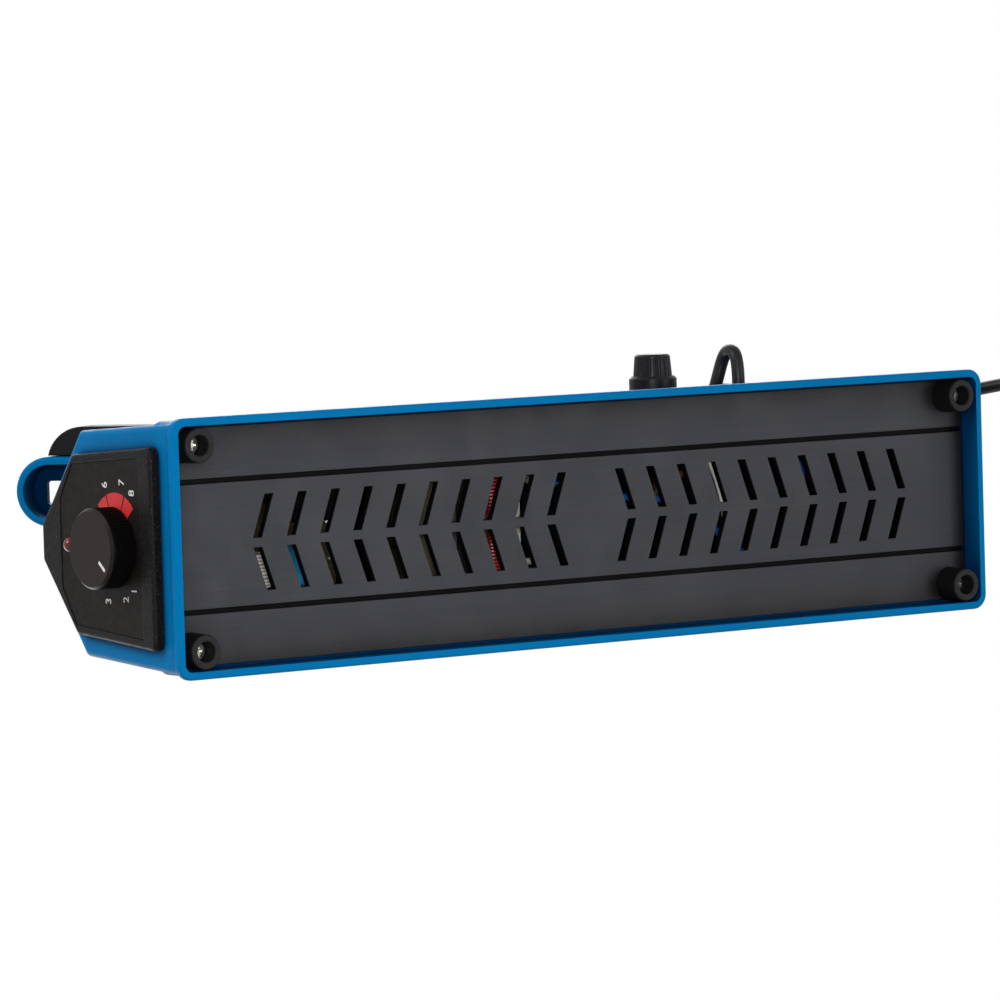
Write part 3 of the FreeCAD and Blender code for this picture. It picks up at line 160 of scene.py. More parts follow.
def mixColours(tree, factor, first, second):
    made = addNode(tree, "ShaderNodeMix", data_type="RGBA")
    tree.links.new(factor, made.inputs["Factor"])
    for socket, colour in ((made.inputs["A"], first), (made.inputs["B"], second)):
        if isinstance(colour, tuple):
            socket.default_value = (*colour, 1.0)
        else:
            tree.links.new(colour, socket)
    return made.outputs["Result"]


def mixShaders(tree, factor, first, second):
    made = addNode(tree, "ShaderNodeMixShader")
    for socket, source in zip(made.inputs, (factor, first, second)):
        tree.links.new(source, socket)
    return made.outputs["Shader"]


def shade(colour, factor):
    return tuple(min(1.0, channel * factor) for channel in colour)


# Edges and corners: rays per look for the soft edges and the painted shade in corners, and the bend at
# which the paler edges (wear and painted highlight) start and are full
cornerReading = {"edgeRays": 6, "recessRays": 8, "wearAndHighlightBend": (0.97, 0.75)}


def softEdges(tree, radius):
    made = addNode(tree, "ShaderNodeBevel", {"Radius": radius}, samples=cornerReading["edgeRays"])
    return made.outputs["Normal"]


def openness(tree, reach):
    rays = cornerReading["recessRays"]
    made = addNode(tree, "ShaderNodeAmbientOcclusion", {"Distance": reach}, samples=rays)
    return made.outputs["AO"]


def edgeMask(tree, softNormal):
    geometry = addNode(tree, "ShaderNodeNewGeometry")
    made = addNode(tree, "ShaderNodeVectorMath", operation="DOT_PRODUCT")
    tree.links.new(softNormal, made.inputs[0])
    tree.links.new(geometry.outputs["Normal"], made.inputs[1])
    return remap(tree, made.outputs["Value"], cornerReading["wearAndHighlightBend"])


def raiseSurface(tree, shader, height, depth, normal=None):
    made = addNode(tree, "ShaderNodeBump", {"Strength": 1.0, "Distance": depth})
    tree.links.new(height, made.inputs["Height"])
    if normal:
        tree.links.new(normal, made.inputs["Normal"])
    tree.links.new(made.outputs["Normal"], shader.inputs["Normal"])


# Painted shade: places whose colour and gloss are darkened as if in shade, behind the plate's face,
# inside the shell, the sides of the knob and of the feet
paintedShadePlaces = {
    "plateFace": (0.0094, 0.0098),
    "footFace": (0.0002, 0.0006),
    "knobEdge": (0.0006, 0.0012),
    "shellSide": 0.0323,  # half the width that counts as inside
    "shellSlope": 1.098,  # how far the walls lean in for each unit above the shoulder
    "shoulder": 0.0582,
    "shellHeights": (0.009, 0.0764),
    "shellEnd": 0.1578,  # half the length that counts as inside
}


def splitPoints(tree):
    made = addNode(tree, "ShaderNodeSeparateXYZ")
    tree.links.new(objectPoints(tree), made.inputs["Vector"])
    return made.outputs["X"], made.outputs["Y"], made.outputs["Z"]


def behindPlateFace(tree):
    return remap(tree, splitPoints(tree)[2], paintedShadePlaces["plateFace"])


def insideShell(tree):
    x, y, z = splitPoints(tree)
    along = calculate(tree, "ABSOLUTE", x, 0.0)
    aside = calculate(tree, "ABSOLUTE", y, 0.0)
    above = calculate(tree, "SUBTRACT", z, paintedShadePlaces["shoulder"])
    lean = calculate(tree, "MULTIPLY", above, paintedShadePlaces["shellSlope"])
    reach = calculate(tree, "MAXIMUM", aside, calculate(tree, "ADD", aside, lean))
    low, high = paintedShadePlaces["shellHeights"]
    inside = calculate(tree, "LESS_THAN", reach, paintedShadePlaces["shellSide"])
    for test, value, limit in (("GREATER_THAN", z, low), ("LESS_THAN", z, high),
                               ("LESS_THAN", along, paintedShadePlaces["shellEnd"])):
        inside = calculate(tree, "MULTIPLY", inside, calculate(tree, test, value, limit))
    return inside


def aboveFootFace(tree):
    return remap(tree, splitPoints(tree)[2], paintedShadePlaces["footFace"])


def behindKnobFace(tree):
    behind = calculate(tree, "SUBTRACT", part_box("time_knob")[1].x, splitPoints(tree)[0])
    return remap(tree, behind, paintedShadePlaces["knobEdge"])


paintedShadeMasks = {"plateGrey": behindPlateFace, "shellBlue": insideShell, "footRubber": aboveFootFace,
           "knobBlack": behindKnobFace}


# Moulded plastic: mottled colour, fine grain, flow lines, paler edges for wear and painted highlight,
# painted shade in corners and in set places, and flecks of painted glint
plasticPattern = {
    "mottleDetail": 3.0,
    "mottleSpan": (0.3, 0.7),
    "grainDetail": 2.0,
    "grainRough": 0.6,
    "lineDetail": 3.0,
    "lineRough": 0.65,
    "lineSpan": (0.35, 0.65),
    "recessSpan": (0.52, 0.97),
    "glintFleckDetail": 1.0,
    "glintFleckSpan": (0.66, 0.74),
    "glossFiner": 4,
    "glossDetail": 4.0,
    "glossSpan": (0.3, 0.7),
    "plainSheen": (1.0, 1.0, 1.0),
}


def mouldedPlastic(name, look):
    pattern = plasticPattern
    material, tree, shader = newMaterial(name)
    points = objectPoints(tree)
    mottle = noise(tree, points, look["mottleScale"], pattern["mottleDetail"])
    mottle = remap(tree, mottle, pattern["mottleSpan"])
    colour = look["colour"]
    spread = look["mottle"]
    base = mixColours(tree, mottle, shade(colour, 1 - spread), shade(colour, 1 + spread))
    grain = noise(tree, points, look["grainScale"], pattern["grainDetail"], pattern["grainRough"])
    height = grain
    if "lines" in look:
        stretched = objectPoints(tree, look["lines"])
        lines = noise(tree, stretched, 1.0, pattern["lineDetail"], pattern["lineRough"])
        faint = calculate(tree, "MULTIPLY", remap(tree, lines, pattern["lineSpan"]), look["lineColour"])
        base = mixColours(tree, faint, base, look["lineTint"])
        height = calculate(tree, "ADD", grain, calculate(tree, "MULTIPLY", lines, look["lineDepth"]))
    normal = softEdges(tree, look["edge"])
    # paler edges: wear, and a painted highlight along the rounded edges
    wornAndHighlight = calculate(tree, "MULTIPLY", edgeMask(tree, normal), look["wearAndHighlight"])
    base = mixColours(tree, wornAndHighlight, base, look["wearAndHighlightColour"])
    # painted shade: corners and recesses darkened by how little open space is around them
    if "recess" in look:
        occlusionShade = remap(tree, openness(tree, look["recess"]), pattern["recessSpan"])
        base = mixColours(tree, occlusionShade, look["recessColour"], base)
    # flecks painted lighter: painted glints of a textured surface
    if "speckle" in look:
        glintFlecks = noise(tree, points, look["speckle"], pattern["glintFleckDetail"])
        glintFlecks = remap(tree, glintFlecks, pattern["glintFleckSpan"])
        base = mixColours(tree, glintFlecks, base, look["speckleColour"])
    # painted shade: colour and gloss darkened in the places of the mask
    if name in paintedShadeMasks:
        paintedShade = paintedShadeMasks[name](tree)
        base = mixColours(tree, paintedShade, base, look["paintedShadeColour"])
        gloss = remap(tree, paintedShade, wholeSpan, (look["specular"], look["paintedShadeSpecular"]))
        tree.links.new(gloss, shader.inputs["Specular IOR Level"])
    tree.links.new(base, shader.inputs["Base Color"])
    rough = noise(tree, points, look["mottleScale"] * pattern["glossFiner"], pattern["glossDetail"])
    tree.links.new(remap(tree, rough, pattern["glossSpan"], look["rough"]), shader.inputs["Roughness"])
    raiseSurface(tree, shader, height, look["grainDepth"], normal)
    setShader(shader, specular=look["specular"])
    shader.inputs["Specular Tint"].default_value = (*look.get("sheen", pattern["plainSheen"]), 1.0)
    return material


# Metal with drawn lines along one direction and a mottled plating
metalPattern = {
    "lineDetail": 4.0,
    "lineRough": 0.6,
    "lineSpan": (0.3, 0.7),
    "platingDetail": 3.0,
    "platingSpan": (0.35, 0.65),
    "platingDull": 0.82,
}


def drawnMetal(name, look):
    pattern = metalPattern
    material, tree, shader = newMaterial(name)
    stretched = objectPoints(tree, look["lines"])
    lines = noise(tree, stretched, 1.0, pattern["lineDetail"], pattern["lineRough"])
    plating = noise(tree, objectPoints(tree), look["mottleScale"], pattern["platingDetail"])
    plating = remap(tree, plating, pattern["platingSpan"])
    base = mixColours(tree, plating, shade(look["colour"], pattern["platingDull"]), look["colour"])
    tree.links.new(base, shader.inputs["Base Color"])
    tree.links.new(remap(tree, lines, pattern["lineSpan"], look["rough"]), shader.inputs["Roughness"])
    raiseSurface(tree, shader, lines, look["depth"], softEdges(tree, look["edge"]))
    setShader(shader, metal=1.0)
    return material


looks = {
    # Blue shell: the paler edge colour is wear and a painted highlight on the rounded edges; the corner
    # colour and the dark inside colour are painted shade
    "shellBlue": {
        "colour": (0.001, 0.168, 0.415), "mottle": 0.05, "mottleScale": 28.0, "grainScale": 1400.0,
        "grainDepth": 0.00002, "rough": (0.32, 0.46), "edge": 0.0004, "wearAndHighlight": 0.30,
        "wearAndHighlightColour": (0.006, 0.22, 0.50), "specular": 0.04, "sheen": (0.06, 0.55, 1.0),
        "paintedShadeColour": (0.001, 0.012, 0.03), "paintedShadeSpecular": 0.03, "recess": 0.020,
        "recessColour": (0.0, 0.032, 0.105),
    },
    # Bottom plate: the corner colour is painted shade; the dark colour behind the face is painted shade
    # in the grooves and slot walls
    "plateGrey": {
        "colour": (0.036, 0.037, 0.043), "mottle": 0.06, "mottleScale": 18.0, "grainScale": 1800.0,
        "grainDepth": 0.00002, "rough": (0.42, 0.55), "edge": 0.0003, "wearAndHighlight": 0.35,
        "wearAndHighlightColour": (0.075, 0.077, 0.083), "specular": 0.12, "lines": (6.0, 1100.0, 1100.0),
        "lineColour": 0.35, "lineTint": (0.048, 0.049, 0.056), "lineDepth": 0.6,
        "paintedShadeColour": (0.003, 0.003, 0.0035), "paintedShadeSpecular": 0.02, "recess": 0.016,
        "recessColour": (0.010, 0.010, 0.012),
    },
    # Panel: the speckle colour paints glints of a textured surface
    "panelBlack": {
        "colour": (0.0076, 0.0066, 0.0066), "mottle": 0.10, "mottleScale": 60.0, "grainScale": 2600.0,
        "grainDepth": 0.00006, "rough": (0.36, 0.52), "edge": 0.0004, "wearAndHighlight": 0.35,
        "wearAndHighlightColour": (0.06, 0.06, 0.057), "specular": 0.06, "speckle": 2400.0,
        "speckleColour": (0.07, 0.067, 0.065),
    },
    # Label: the speckle colour paints glints of a textured surface
    "labelBlack": {
        "colour": (0.0070, 0.0056, 0.0050), "mottle": 0.08, "mottleScale": 80.0, "grainScale": 3200.0,
        "grainDepth": 0.00004, "rough": (0.42, 0.58), "edge": 0.0001, "wearAndHighlight": 0.2,
        "wearAndHighlightColour": (0.05, 0.05, 0.05), "specular": 0.06, "speckle": 2600.0,
        "speckleColour": (0.040, 0.037, 0.035),
    },
    # Knob: the dark colour on the knurled side is painted shade
    "knobBlack": {
        "colour": (0.0138, 0.0090, 0.0080), "mottle": 0.08, "mottleScale": 70.0, "grainScale": 2200.0,
        "grainDepth": 0.00003, "rough": (0.30, 0.44), "edge": 0.00025, "wearAndHighlight": 0.45,
        "wearAndHighlightColour": (0.09, 0.09, 0.085), "specular": 0.08, "paintedShadeColour": (0.0030, 0.0028, 0.0027),
        "paintedShadeSpecular": 0.03,
    },
    "coverBlack": {
        "colour": (0.010, 0.010, 0.0105), "mottle": 0.06, "mottleScale": 26.0, "grainScale": 1500.0,
        "grainDepth": 0.00005, "rough": (0.47, 0.53), "edge": 0.0005, "wearAndHighlight": 0.30,
        "wearAndHighlightColour": (0.04, 0.04, 0.042), "specular": 0.08,
    },
    "fittingBlack": {
        "colour": (0.004, 0.004, 0.006), "mottle": 0.10, "mottleScale": 90.0, "grainScale": 2400.0,
        "grainDepth": 0.00003, "rough": (0.28, 0.42), "edge": 0.0002, "wearAndHighlight": 0.40,
        "wearAndHighlightColour": (0.06, 0.06, 0.065), "specular": 0.12,
    },
    # Feet: the dark colour on the sides and the rounded edge is painted shade
    "footRubber": {
        "colour": (0.020, 0.020, 0.021), "mottle": 0.12, "mottleScale": 150.0, "grainScale": 3000.0,
        "grainDepth": 0.00005, "rough": (0.50, 0.68), "edge": 0.0003, "wearAndHighlight": 0.55,
        "wearAndHighlightColour": (0.065, 0.065, 0.067), "specular": 0.08, "paintedShadeColour": (0.007, 0.007, 0.0075),
        "paintedShadeSpecular": 0.04,
    },
    "bakelite": {
        "colour": (0.13, 0.055, 0.03), "mottle": 0.22, "mottleScale": 120.0, "grainScale": 900.0,
        "grainDepth": 0.00004, "rough": (0.35, 0.5), "edge": 0.0003, "wearAndHighlight": 0.3,
        "wearAndHighlightColour": (0.25, 0.13, 0.08), "specular": 0.45,
    },
    "milkWhite": {
        "colour": (0.72, 0.70, 0.64), "mottle": 0.05, "mottleScale": 80.0, "grainScale": 1600.0,
        "grainDepth": 0.00003, "rough": (0.40, 0.55), "edge": 0.0002, "wearAndHighlight": 0.2,
        "wearAndHighlightColour": (0.80, 0.79, 0.75), "specular": 0.4,
    },
    "inkWhite": {
        "colour": (0.72, 0.72, 0.70), "mottle": 0.08, "mottleScale": 900.0, "grainScale": 4000.0,
        "grainDepth": 0.00001, "rough": (0.5, 0.65), "edge": 0.00005, "wearAndHighlight": 0.1,
        "wearAndHighlightColour": (0.6, 0.6, 0.6), "specular": 0.3,
    },
    "inkRed": {
        "colour": (0.52, 0.020, 0.020), "mottle": 0.08, "mottleScale": 700.0, "grainScale": 4000.0,
        "grainDepth": 0.00001, "rough": (0.45, 0.6), "edge": 0.00005, "wearAndHighlight": 0.1,
        "wearAndHighlightColour": (0.45, 0.03, 0.03), "specular": 0.3,
    },
    "siliconeRed": {
        "colour": (0.48, 0.06, 0.035), "mottle": 0.08, "mottleScale": 45.0, "grainScale": 1200.0,
        "grainDepth": 0.00004, "rough": (0.55, 0.7), "edge": 0.0003, "wearAndHighlight": 0.2,
        "wearAndHighlightColour": (0.6, 0.16, 0.1), "specular": 0.35,
    },
    "discBlue": {
        "colour": (0.04, 0.50, 0.96), "mottle": 0.10, "mottleScale": 160.0, "grainScale": 700.0,
        "grainDepth": 0.00012, "rough": (0.16, 0.28), "edge": 0.0004, "wearAndHighlight": 0.2,
        "wearAndHighlightColour": (0.2, 0.5, 0.8), "specular": 0.55,
    },
    "wireBlue": {
        "colour": (0.01, 0.10, 0.42), "mottle": 0.10, "mottleScale": 200.0, "grainScale": 1500.0,
        "grainDepth": 0.00003, "rough": (0.3, 0.42), "edge": 0.0002, "wearAndHighlight": 0.1,
        "wearAndHighlightColour": (0.1, 0.25, 0.6), "specular": 0.5,
    },
    "wireBrown": {
        "colour": (0.10, 0.035, 0.015), "mottle": 0.10, "mottleScale": 200.0, "grainScale": 1500.0,
        "grainDepth": 0.00003, "rough": (0.3, 0.42), "edge": 0.0002, "wearAndHighlight": 0.1,
        "wearAndHighlightColour": (0.2, 0.09, 0.05), "specular": 0.5,
    },
    "enamelRed": {
        "colour": (0.21, 0.010, 0.012), "mottle": 0.22, "mottleScale": 260.0, "grainScale": 1500.0,
        "grainDepth": 0.00004, "rough": (0.18, 0.32), "edge": 0.0002, "wearAndHighlight": 0.3,
        "wearAndHighlightColour": (0.45, 0.12, 0.09), "specular": 0.6,
    },
    "frameBlack": {
        "colour": (0.008, 0.008, 0.009), "mottle": 0.15, "mottleScale": 110.0, "grainScale": 1100.0,
        "grainDepth": 0.00004, "rough": (0.40, 0.55), "edge": 0.0003, "wearAndHighlight": 0.35,
        "wearAndHighlightColour": (0.05, 0.05, 0.05), "specular": 0.15,
    },
    "cordBlack": {
        "colour": (0.009, 0.009, 0.010), "mottle": 0.12, "mottleScale": 60.0, "grainScale": 1300.0,
        "grainDepth": 0.00004, "rough": (0.30, 0.44), "edge": 0.0002, "wearAndHighlight": 0.1,
        "wearAndHighlightColour": (0.05, 0.05, 0.05), "specular": 0.16,
    },
}
metals = {
    "platedSteel": {
        "colour": (0.62, 0.61, 0.58), "lines": (700.0, 700.0, 60.0), "mottleScale": 140.0,
        "rough": (0.22, 0.38), "depth": 0.00002, "edge": 0.0002,
    },
    "springSteel": {
        "colour": (0.46, 0.46, 0.47), "lines": (500.0, 500.0, 500.0), "mottleScale": 200.0,
        "rough": (0.25, 0.4), "depth": 0.00002, "edge": 0.0001,
    },
    "millAluminium": {
        "colour": (0.70, 0.70, 0.71), "lines": (8.0, 900.0, 900.0), "mottleScale": 40.0,
        "rough": (0.30, 0.46), "depth": 0.00003, "edge": 0.0003,
    },
    "elementStrip": {
        "colour": (0.52, 0.49, 0.45), "lines": (10.0, 2200.0, 2200.0), "mottleScale": 60.0,
        "rough": (0.28, 0.42), "depth": 0.00001, "edge": 0.0001,
    },
    "brassPlate": {
        "colour": (0.72, 0.50, 0.20), "lines": (900.0, 60.0, 900.0), "mottleScale": 120.0,
        "rough": (0.22, 0.36), "depth": 0.00002, "edge": 0.0002,
    },
}
finishes = {name: mouldedPlastic(name, look) for name, look in looks.items()}
finishes.update({name: drawnMetal(name, look) for name, look in metals.items()})
print("plain finishes made:", len(finishes))


# Finishes with a pattern of their own
waveTurn = 2 * math.pi / 20  # a wave texture's scale for one band per unit


def bandWave(tree, points, axis, pitch, wander, sockets=None, **settings):
    values = {"Scale": waveTurn / pitch, "Distortion": wander, **(sockets or {})}
    made = addNode(tree, "ShaderNodeTexWave", values, wave_type="BANDS", bands_direction=axis,
                   **settings)
    tree.links.new(points, made.inputs["Vector"])
    return made.outputs["Fac"]


lampLook = {
    "colour": (0.17, 0.003, 0.004),
    "deep": (0.05, 0.0, 0.0),
    "swirl": 240.0,
    "swirlDetail": 2.0,
    "swirlSpan": (0.35, 0.65),
    "rough": (0.06, 0.14),
    "lens": {"clear": 0.1, "ior": 1.49, "specular": 0.3, "coat": 0.1, "coatRough": 0.05},
}


def lampLens(look):
    material, tree, shader = newMaterial("lampRed")
    swirl = noise(tree, objectPoints(tree), look["swirl"], look["swirlDetail"])
    swirl = remap(tree, swirl, look["swirlSpan"])
    tree.links.new(mixColours(tree, swirl, look["deep"], look["colour"]), shader.inputs["Base Color"])
    tree.links.new(remap(tree, swirl, wholeSpan, look["rough"]), shader.inputs["Roughness"])
    setShader(shader, **look["lens"])
    return material


sheetLook = {
    "colour": (0.07, 0.07, 0.075),
    "seam": (0.02, 0.02, 0.022),
    "pitch": 0.0005,
    "wander": 0.4,
    "rust": (0.16, 0.10, 0.07),
    "rustShare": 0.5,
    "stain": 90.0,
    "stainDetail": 4.0,
    "stainSpan": (0.45, 0.75),
    "rough": (0.38, 0.6),
    "depth": 0.0001,
    "metal": 0.6,
}


def stackedSheets(look):
    material, tree, shader = newMaterial("coreSheets")
    points = objectPoints(tree)
    sheets = bandWave(tree, points, "X", look["pitch"], look["wander"])
    stain = remap(tree, noise(tree, points, look["stain"], look["stainDetail"]), look["stainSpan"])
    base = mixColours(tree, sheets, look["seam"], look["colour"])
    base = mixColours(tree, calculate(tree, "MULTIPLY", stain, look["rustShare"]), base, look["rust"])
    tree.links.new(base, shader.inputs["Base Color"])
    tree.links.new(remap(tree, stain, wholeSpan, look["rough"]), shader.inputs["Roughness"])
    raiseSurface(tree, shader, sheets, look["depth"])
    setShader(shader, metal=look["metal"])
    return material


tapeLook = {
    "colour": (0.062, 0.055, 0.030),
    "edge": (0.024, 0.020, 0.010),
    "pitch": 0.009,
    "wander": 1.2,
    "wave": {"Detail": 2.0, "Detail Scale": 3.0},
    "lapSpan": (0.0, 0.16),
    "weave": (900, 900, 300),
    "weaveDetail": 3.0,
    "threadSpan": (0.4, 0.8),
    "threadShare": (0.0, 0.35),
    "threadPale": 1.6,
    "roughSpan": (0.3, 0.7),
    "rough": (0.35, 0.55),
    "depth": 0.00025,
}


def woundTape(look):
    material, tree, shader = newMaterial("tapeKhaki")
    laps = bandWave(tree, objectPoints(tree), "Z", look["pitch"], look["wander"], look["wave"],
                    wave_profile="SAW")
    weave = noise(tree, objectPoints(tree, look["weave"]), 1.0, look["weaveDetail"])
    base = mixColours(tree, remap(tree, laps, look["lapSpan"]), look["edge"], look["colour"])
    threads = remap(tree, weave, look["threadSpan"], look["threadShare"])
    base = mixColours(tree, threads, base, shade(look["colour"], look["threadPale"]))
    tree.links.new(base, shader.inputs["Base Color"])
    tree.links.new(remap(tree, weave, look["roughSpan"], look["rough"]), shader.inputs["Roughness"])
    raiseSurface(tree, shader, calculate(tree, "ADD", laps, weave), look["depth"])
    return material


ribLook = {
    "colour": (0.93, 0.89, 0.83),
    "gap": (0.30, 0.22, 0.19),
    "gapSpan": (0.05, 0.5),
    "pitch": 0.0011,
    "wander": 0.2,
    "blush": (0.62, 0.36, 0.32),
    "blushScale": 260.0,
    "blushDetail": 3.0,
    "blushSpan": (0.50, 0.72),
    "blushShare": (0.0, 0.8),
    "rough": (0.32, 0.5),
    "depth": 0.0003,
}


def ribbedBlock(look):
    material, tree, shader = newMaterial("ribWhite")
    points = objectPoints(tree)
    ribs = bandWave(tree, points, "Y", look["pitch"], look["wander"])
    blush = noise(tree, points, look["blushScale"], look["blushDetail"])
    blush = remap(tree, blush, look["blushSpan"], look["blushShare"])
    base = mixColours(tree, blush, look["colour"], look["blush"])
    base = mixColours(tree, remap(tree, ribs, look["gapSpan"]), look["gap"], base)
    tree.links.new(base, shader.inputs["Base Color"])
    tree.links.new(remap(tree, blush, wholeSpan, look["rough"]), shader.inputs["Roughness"])
    raiseSurface(tree, shader, ribs, look["depth"])
    return material


boardLook = {
    "colour": (0.13, 0.088, 0.038),
    "fibre": (0.08, 0.05, 0.022),
    "fibreStretch": (300, 1500, 300),
    "fibreDetail": 4.0,
    "fibreSpan": (0.35, 0.7),
    "fibreHeight": 0.15,
    "pad": (0.62, 0.62, 0.60),
    "padPitch": 170.0,
    "padScatter": 0.55,
    "padEdge": (0.24, 0.18),
    "rough": (0.5, 0.25),
    "depth": 0.0004,
}


def phenolicBoard(look):
    material, tree, shader = newMaterial("boardTan")
    fibre = noise(tree, objectPoints(tree, look["fibreStretch"]), 1.0, look["fibreDetail"])
    spread = {"Scale": look["padPitch"], "Randomness": look["padScatter"]}
    cells = addNode(tree, "ShaderNodeTexVoronoi", spread)
    tree.links.new(objectPoints(tree), cells.inputs["Vector"])
    pad = remap(tree, cells.outputs["Distance"], look["padEdge"])
    base = mixColours(tree, remap(tree, fibre, look["fibreSpan"]), look["fibre"], look["colour"])
    tree.links.new(mixColours(tree, pad, base, look["pad"]), shader.inputs["Base Color"])
    tree.links.new(remap(tree, pad, wholeSpan, look["rough"]), shader.inputs["Roughness"])
    tree.links.new(pad, shader.inputs["Metallic"])
    height = calculate(tree, "ADD", calculate(tree, "MULTIPLY", fibre, look["fibreHeight"]), pad)
    raiseSurface(tree, shader, height, look["depth"])
    return material


clothLook = {
    "colour": (0.30, 0.19, 0.085),
    "thread": (0.20, 0.115, 0.045),
    "pitch": 0.0009,
    "wander": 0.3,
    "toneScale": 30.0,
    "toneDetail": 3.0,
    "toneSpan": (0.3, 0.7),
    "tone": (0.75, 1.0),
    "rough": (0.28, 0.42),
    "depth": 0.00008,
}


def slipCloth(look):
    material, tree, shader = newMaterial("slipCloth")
    points = objectPoints(tree)
    threads = [bandWave(tree, points, axis, look["pitch"], look["wander"]) for axis in ("X", "Y")]
    weave = calculate(tree, "MULTIPLY", *threads)
    tone = noise(tree, points, look["toneScale"], look["toneDetail"])
    tone = remap(tree, tone, look["toneSpan"], look["tone"])
    base = mixColours(tree, calculate(tree, "MULTIPLY", weave, tone), look["thread"], look["colour"])
    tree.links.new(base, shader.inputs["Base Color"])
    tree.links.new(remap(tree, weave, wholeSpan, look["rough"]), shader.inputs["Roughness"])
    raiseSurface(tree, shader, weave, look["depth"])
    return material


fuseLook = {
    "glass": (0.9, 0.94, 0.94),
    "cap": (0.7, 0.69, 0.66),
    "capLength": 0.0055,
    "capEdge": 0.0002,
    "smear": 300.0,
    "smearDetail": 3.0,
    "smearSpan": (0.3, 0.7),
    "rough": (0.03, 0.2),
}


def fuseGlass(look):
    material, tree, shader = newMaterial("fuseGlass")
    lowCorner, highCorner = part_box("glass_fuse")
    middle = (lowCorner.y + highCorner.y) / 2
    edge = (highCorner.y - lowCorner.y) / 2 - look["capLength"]
    away = calculate(tree, "ABSOLUTE", calculate(tree, "SUBTRACT", splitPoints(tree)[1], middle), 0.0)
    cap = remap(tree, away, (edge, edge + look["capEdge"]))
    smear = noise(tree, objectPoints(tree), look["smear"], look["smearDetail"])
    tree.links.new(mixColours(tree, cap, look["glass"], look["cap"]), shader.inputs["Base Color"])
    tree.links.new(cap, shader.inputs["Metallic"])
    tree.links.new(calculate(tree, "SUBTRACT", 1.0, cap), shader.inputs["Transmission Weight"])
    tree.links.new(remap(tree, smear, look["smearSpan"], look["rough"]), shader.inputs["Roughness"])
    return material


finishes.update({
    "lampRed": lampLens(lampLook),
    "coreSheets": stackedSheets(sheetLook),
    "tapeKhaki": woundTape(tapeLook),
    "boardTan": phenolicBoard(boardLook),
    "ribWhite": ribbedBlock(ribLook),
    "slipCloth": slipCloth(clothLook),
    "fuseGlass": fuseGlass(fuseLook),
})
print("patterned finishes made")

finishOf = {
    "body_shell": "shellBlue", "lever_arm": "shellBlue", "bottom_plate": "plateGrey",
    "rubber_feet": "footRubber", "foot_screws": "platedSteel", "control_panel": "panelBlack",
    "dial_label": "labelBlack", "time_knob": "knobBlack", "knob_pointer": "inkWhite",
    "potentiometer": "platedSteel", "potentiometer_shaft": "millAluminium",
    "potentiometer_nut": "platedSteel", "indicator_lamp": "lampRed", "fuse_holder": "fittingBlack",
    "fuse_cap": "fittingBlack", "glass_fuse": "fuseGlass", "cord_bushing": "fittingBlack",
    "sealing_bed": "bakelite", "heating_element": "elementStrip", "element_clamps": "brassPlate",
    "bed_cover": "slipCloth", "cover_strips": "millAluminium", "hinge_bracket": "platedSteel",
    "hinge_pin": "platedSteel", "pin_clip": "springSteel", "deck_screws": "platedSteel",
    "return_spring": "springSteel", "arm_cover": "coverBlack", "press_bar": "millAluminium",
    "silicone_strip": "siliconeRed", "arm_screws": "platedSteel", "switch_plunger": "milkWhite",
    "micro_switch": "fittingBlack", "switch_bracket": "platedSteel", "transformer_core": "coreSheets",
    "primary_winding": "tapeKhaki", "winding_spool": "milkWhite", "secondary_winding": "enamelRed",
    "transformer_frame": "frameBlack", "circuit_board": "boardTan", "board_posts": "milkWhite",
    "disc_capacitor": "discBlue", "ribbed_resistor": "ribWhite", "relay": "fittingBlack",
    "brown_wire": "wireBrown", "blue_wire": "wireBlue", "white_wire": "milkWhite",
    "cord_tie": "cordBlack", "plug_body": "cordBlack", "plug_blades": "brassPlate",
    "power_cord": "cordBlack", "cord_coil": "cordBlack", "plug_lead": "cordBlack",
}
for name, finish in finishOf.items():
    nodes[name].data.materials.clear()
    nodes[name].data.materials.append(finishes[finish])
print("finishes set on", len(finishOf), "nodes")


# Mains cord: one smooth line from the bushing through the coil to the plug
cordLine = {
    "diameter": 0.0044,
    "length": 1.33,
    "route": [
        (-0.0964, 0.0374, 0.0512),
        (-0.0964, 0.0460, 0.0512),
        (-0.0969, 0.0490, 0.0557),
        (-0.0977, 0.0468, 0.0607),
        (-0.0956, 0.0366, 0.0626),
        (-0.0955, 0.0290, 0.0666),
        (-0.0996, 0.0239, 0.0715),
        (-0.1067, 0.0210, 0.0744),
        (-0.1180, 0.0207, 0.0746),
        (-0.1380, 0.0216, 0.0738),
        (-0.1570, 0.0232, 0.0729),
        (-0.1700, 0.0247, 0.0696),
        (-0.1800, 0.0275, 0.0570),
        (-0.1865, 0.0303, 0.0415),
        (-0.1910, 0.0330, 0.0260),
        (-0.1965, 0.0352, 0.0135),
        (-0.2050, 0.0360, 0.0062),
        (-0.2120, 0.0360, 0.0046),
    ],
    "coilCentre": (-0.222, 0.0),
    "coilRadius": 0.036,
    "coilPitch": 0.005,
    "coilFloor": 0.0046,
    "turnsIn": 3.0,
    "crossover": 0.5,
    "turnsOut": 2.75,
    "pointsPerTurn": 24,
    "plugLead": 0.034,
    "plugLeadStraight": 0.0102,
    "plugHeight": 0.0073,
    "curveOrder": 3,
    "curveSteps": 6,
    "ringSteps": 5,
}


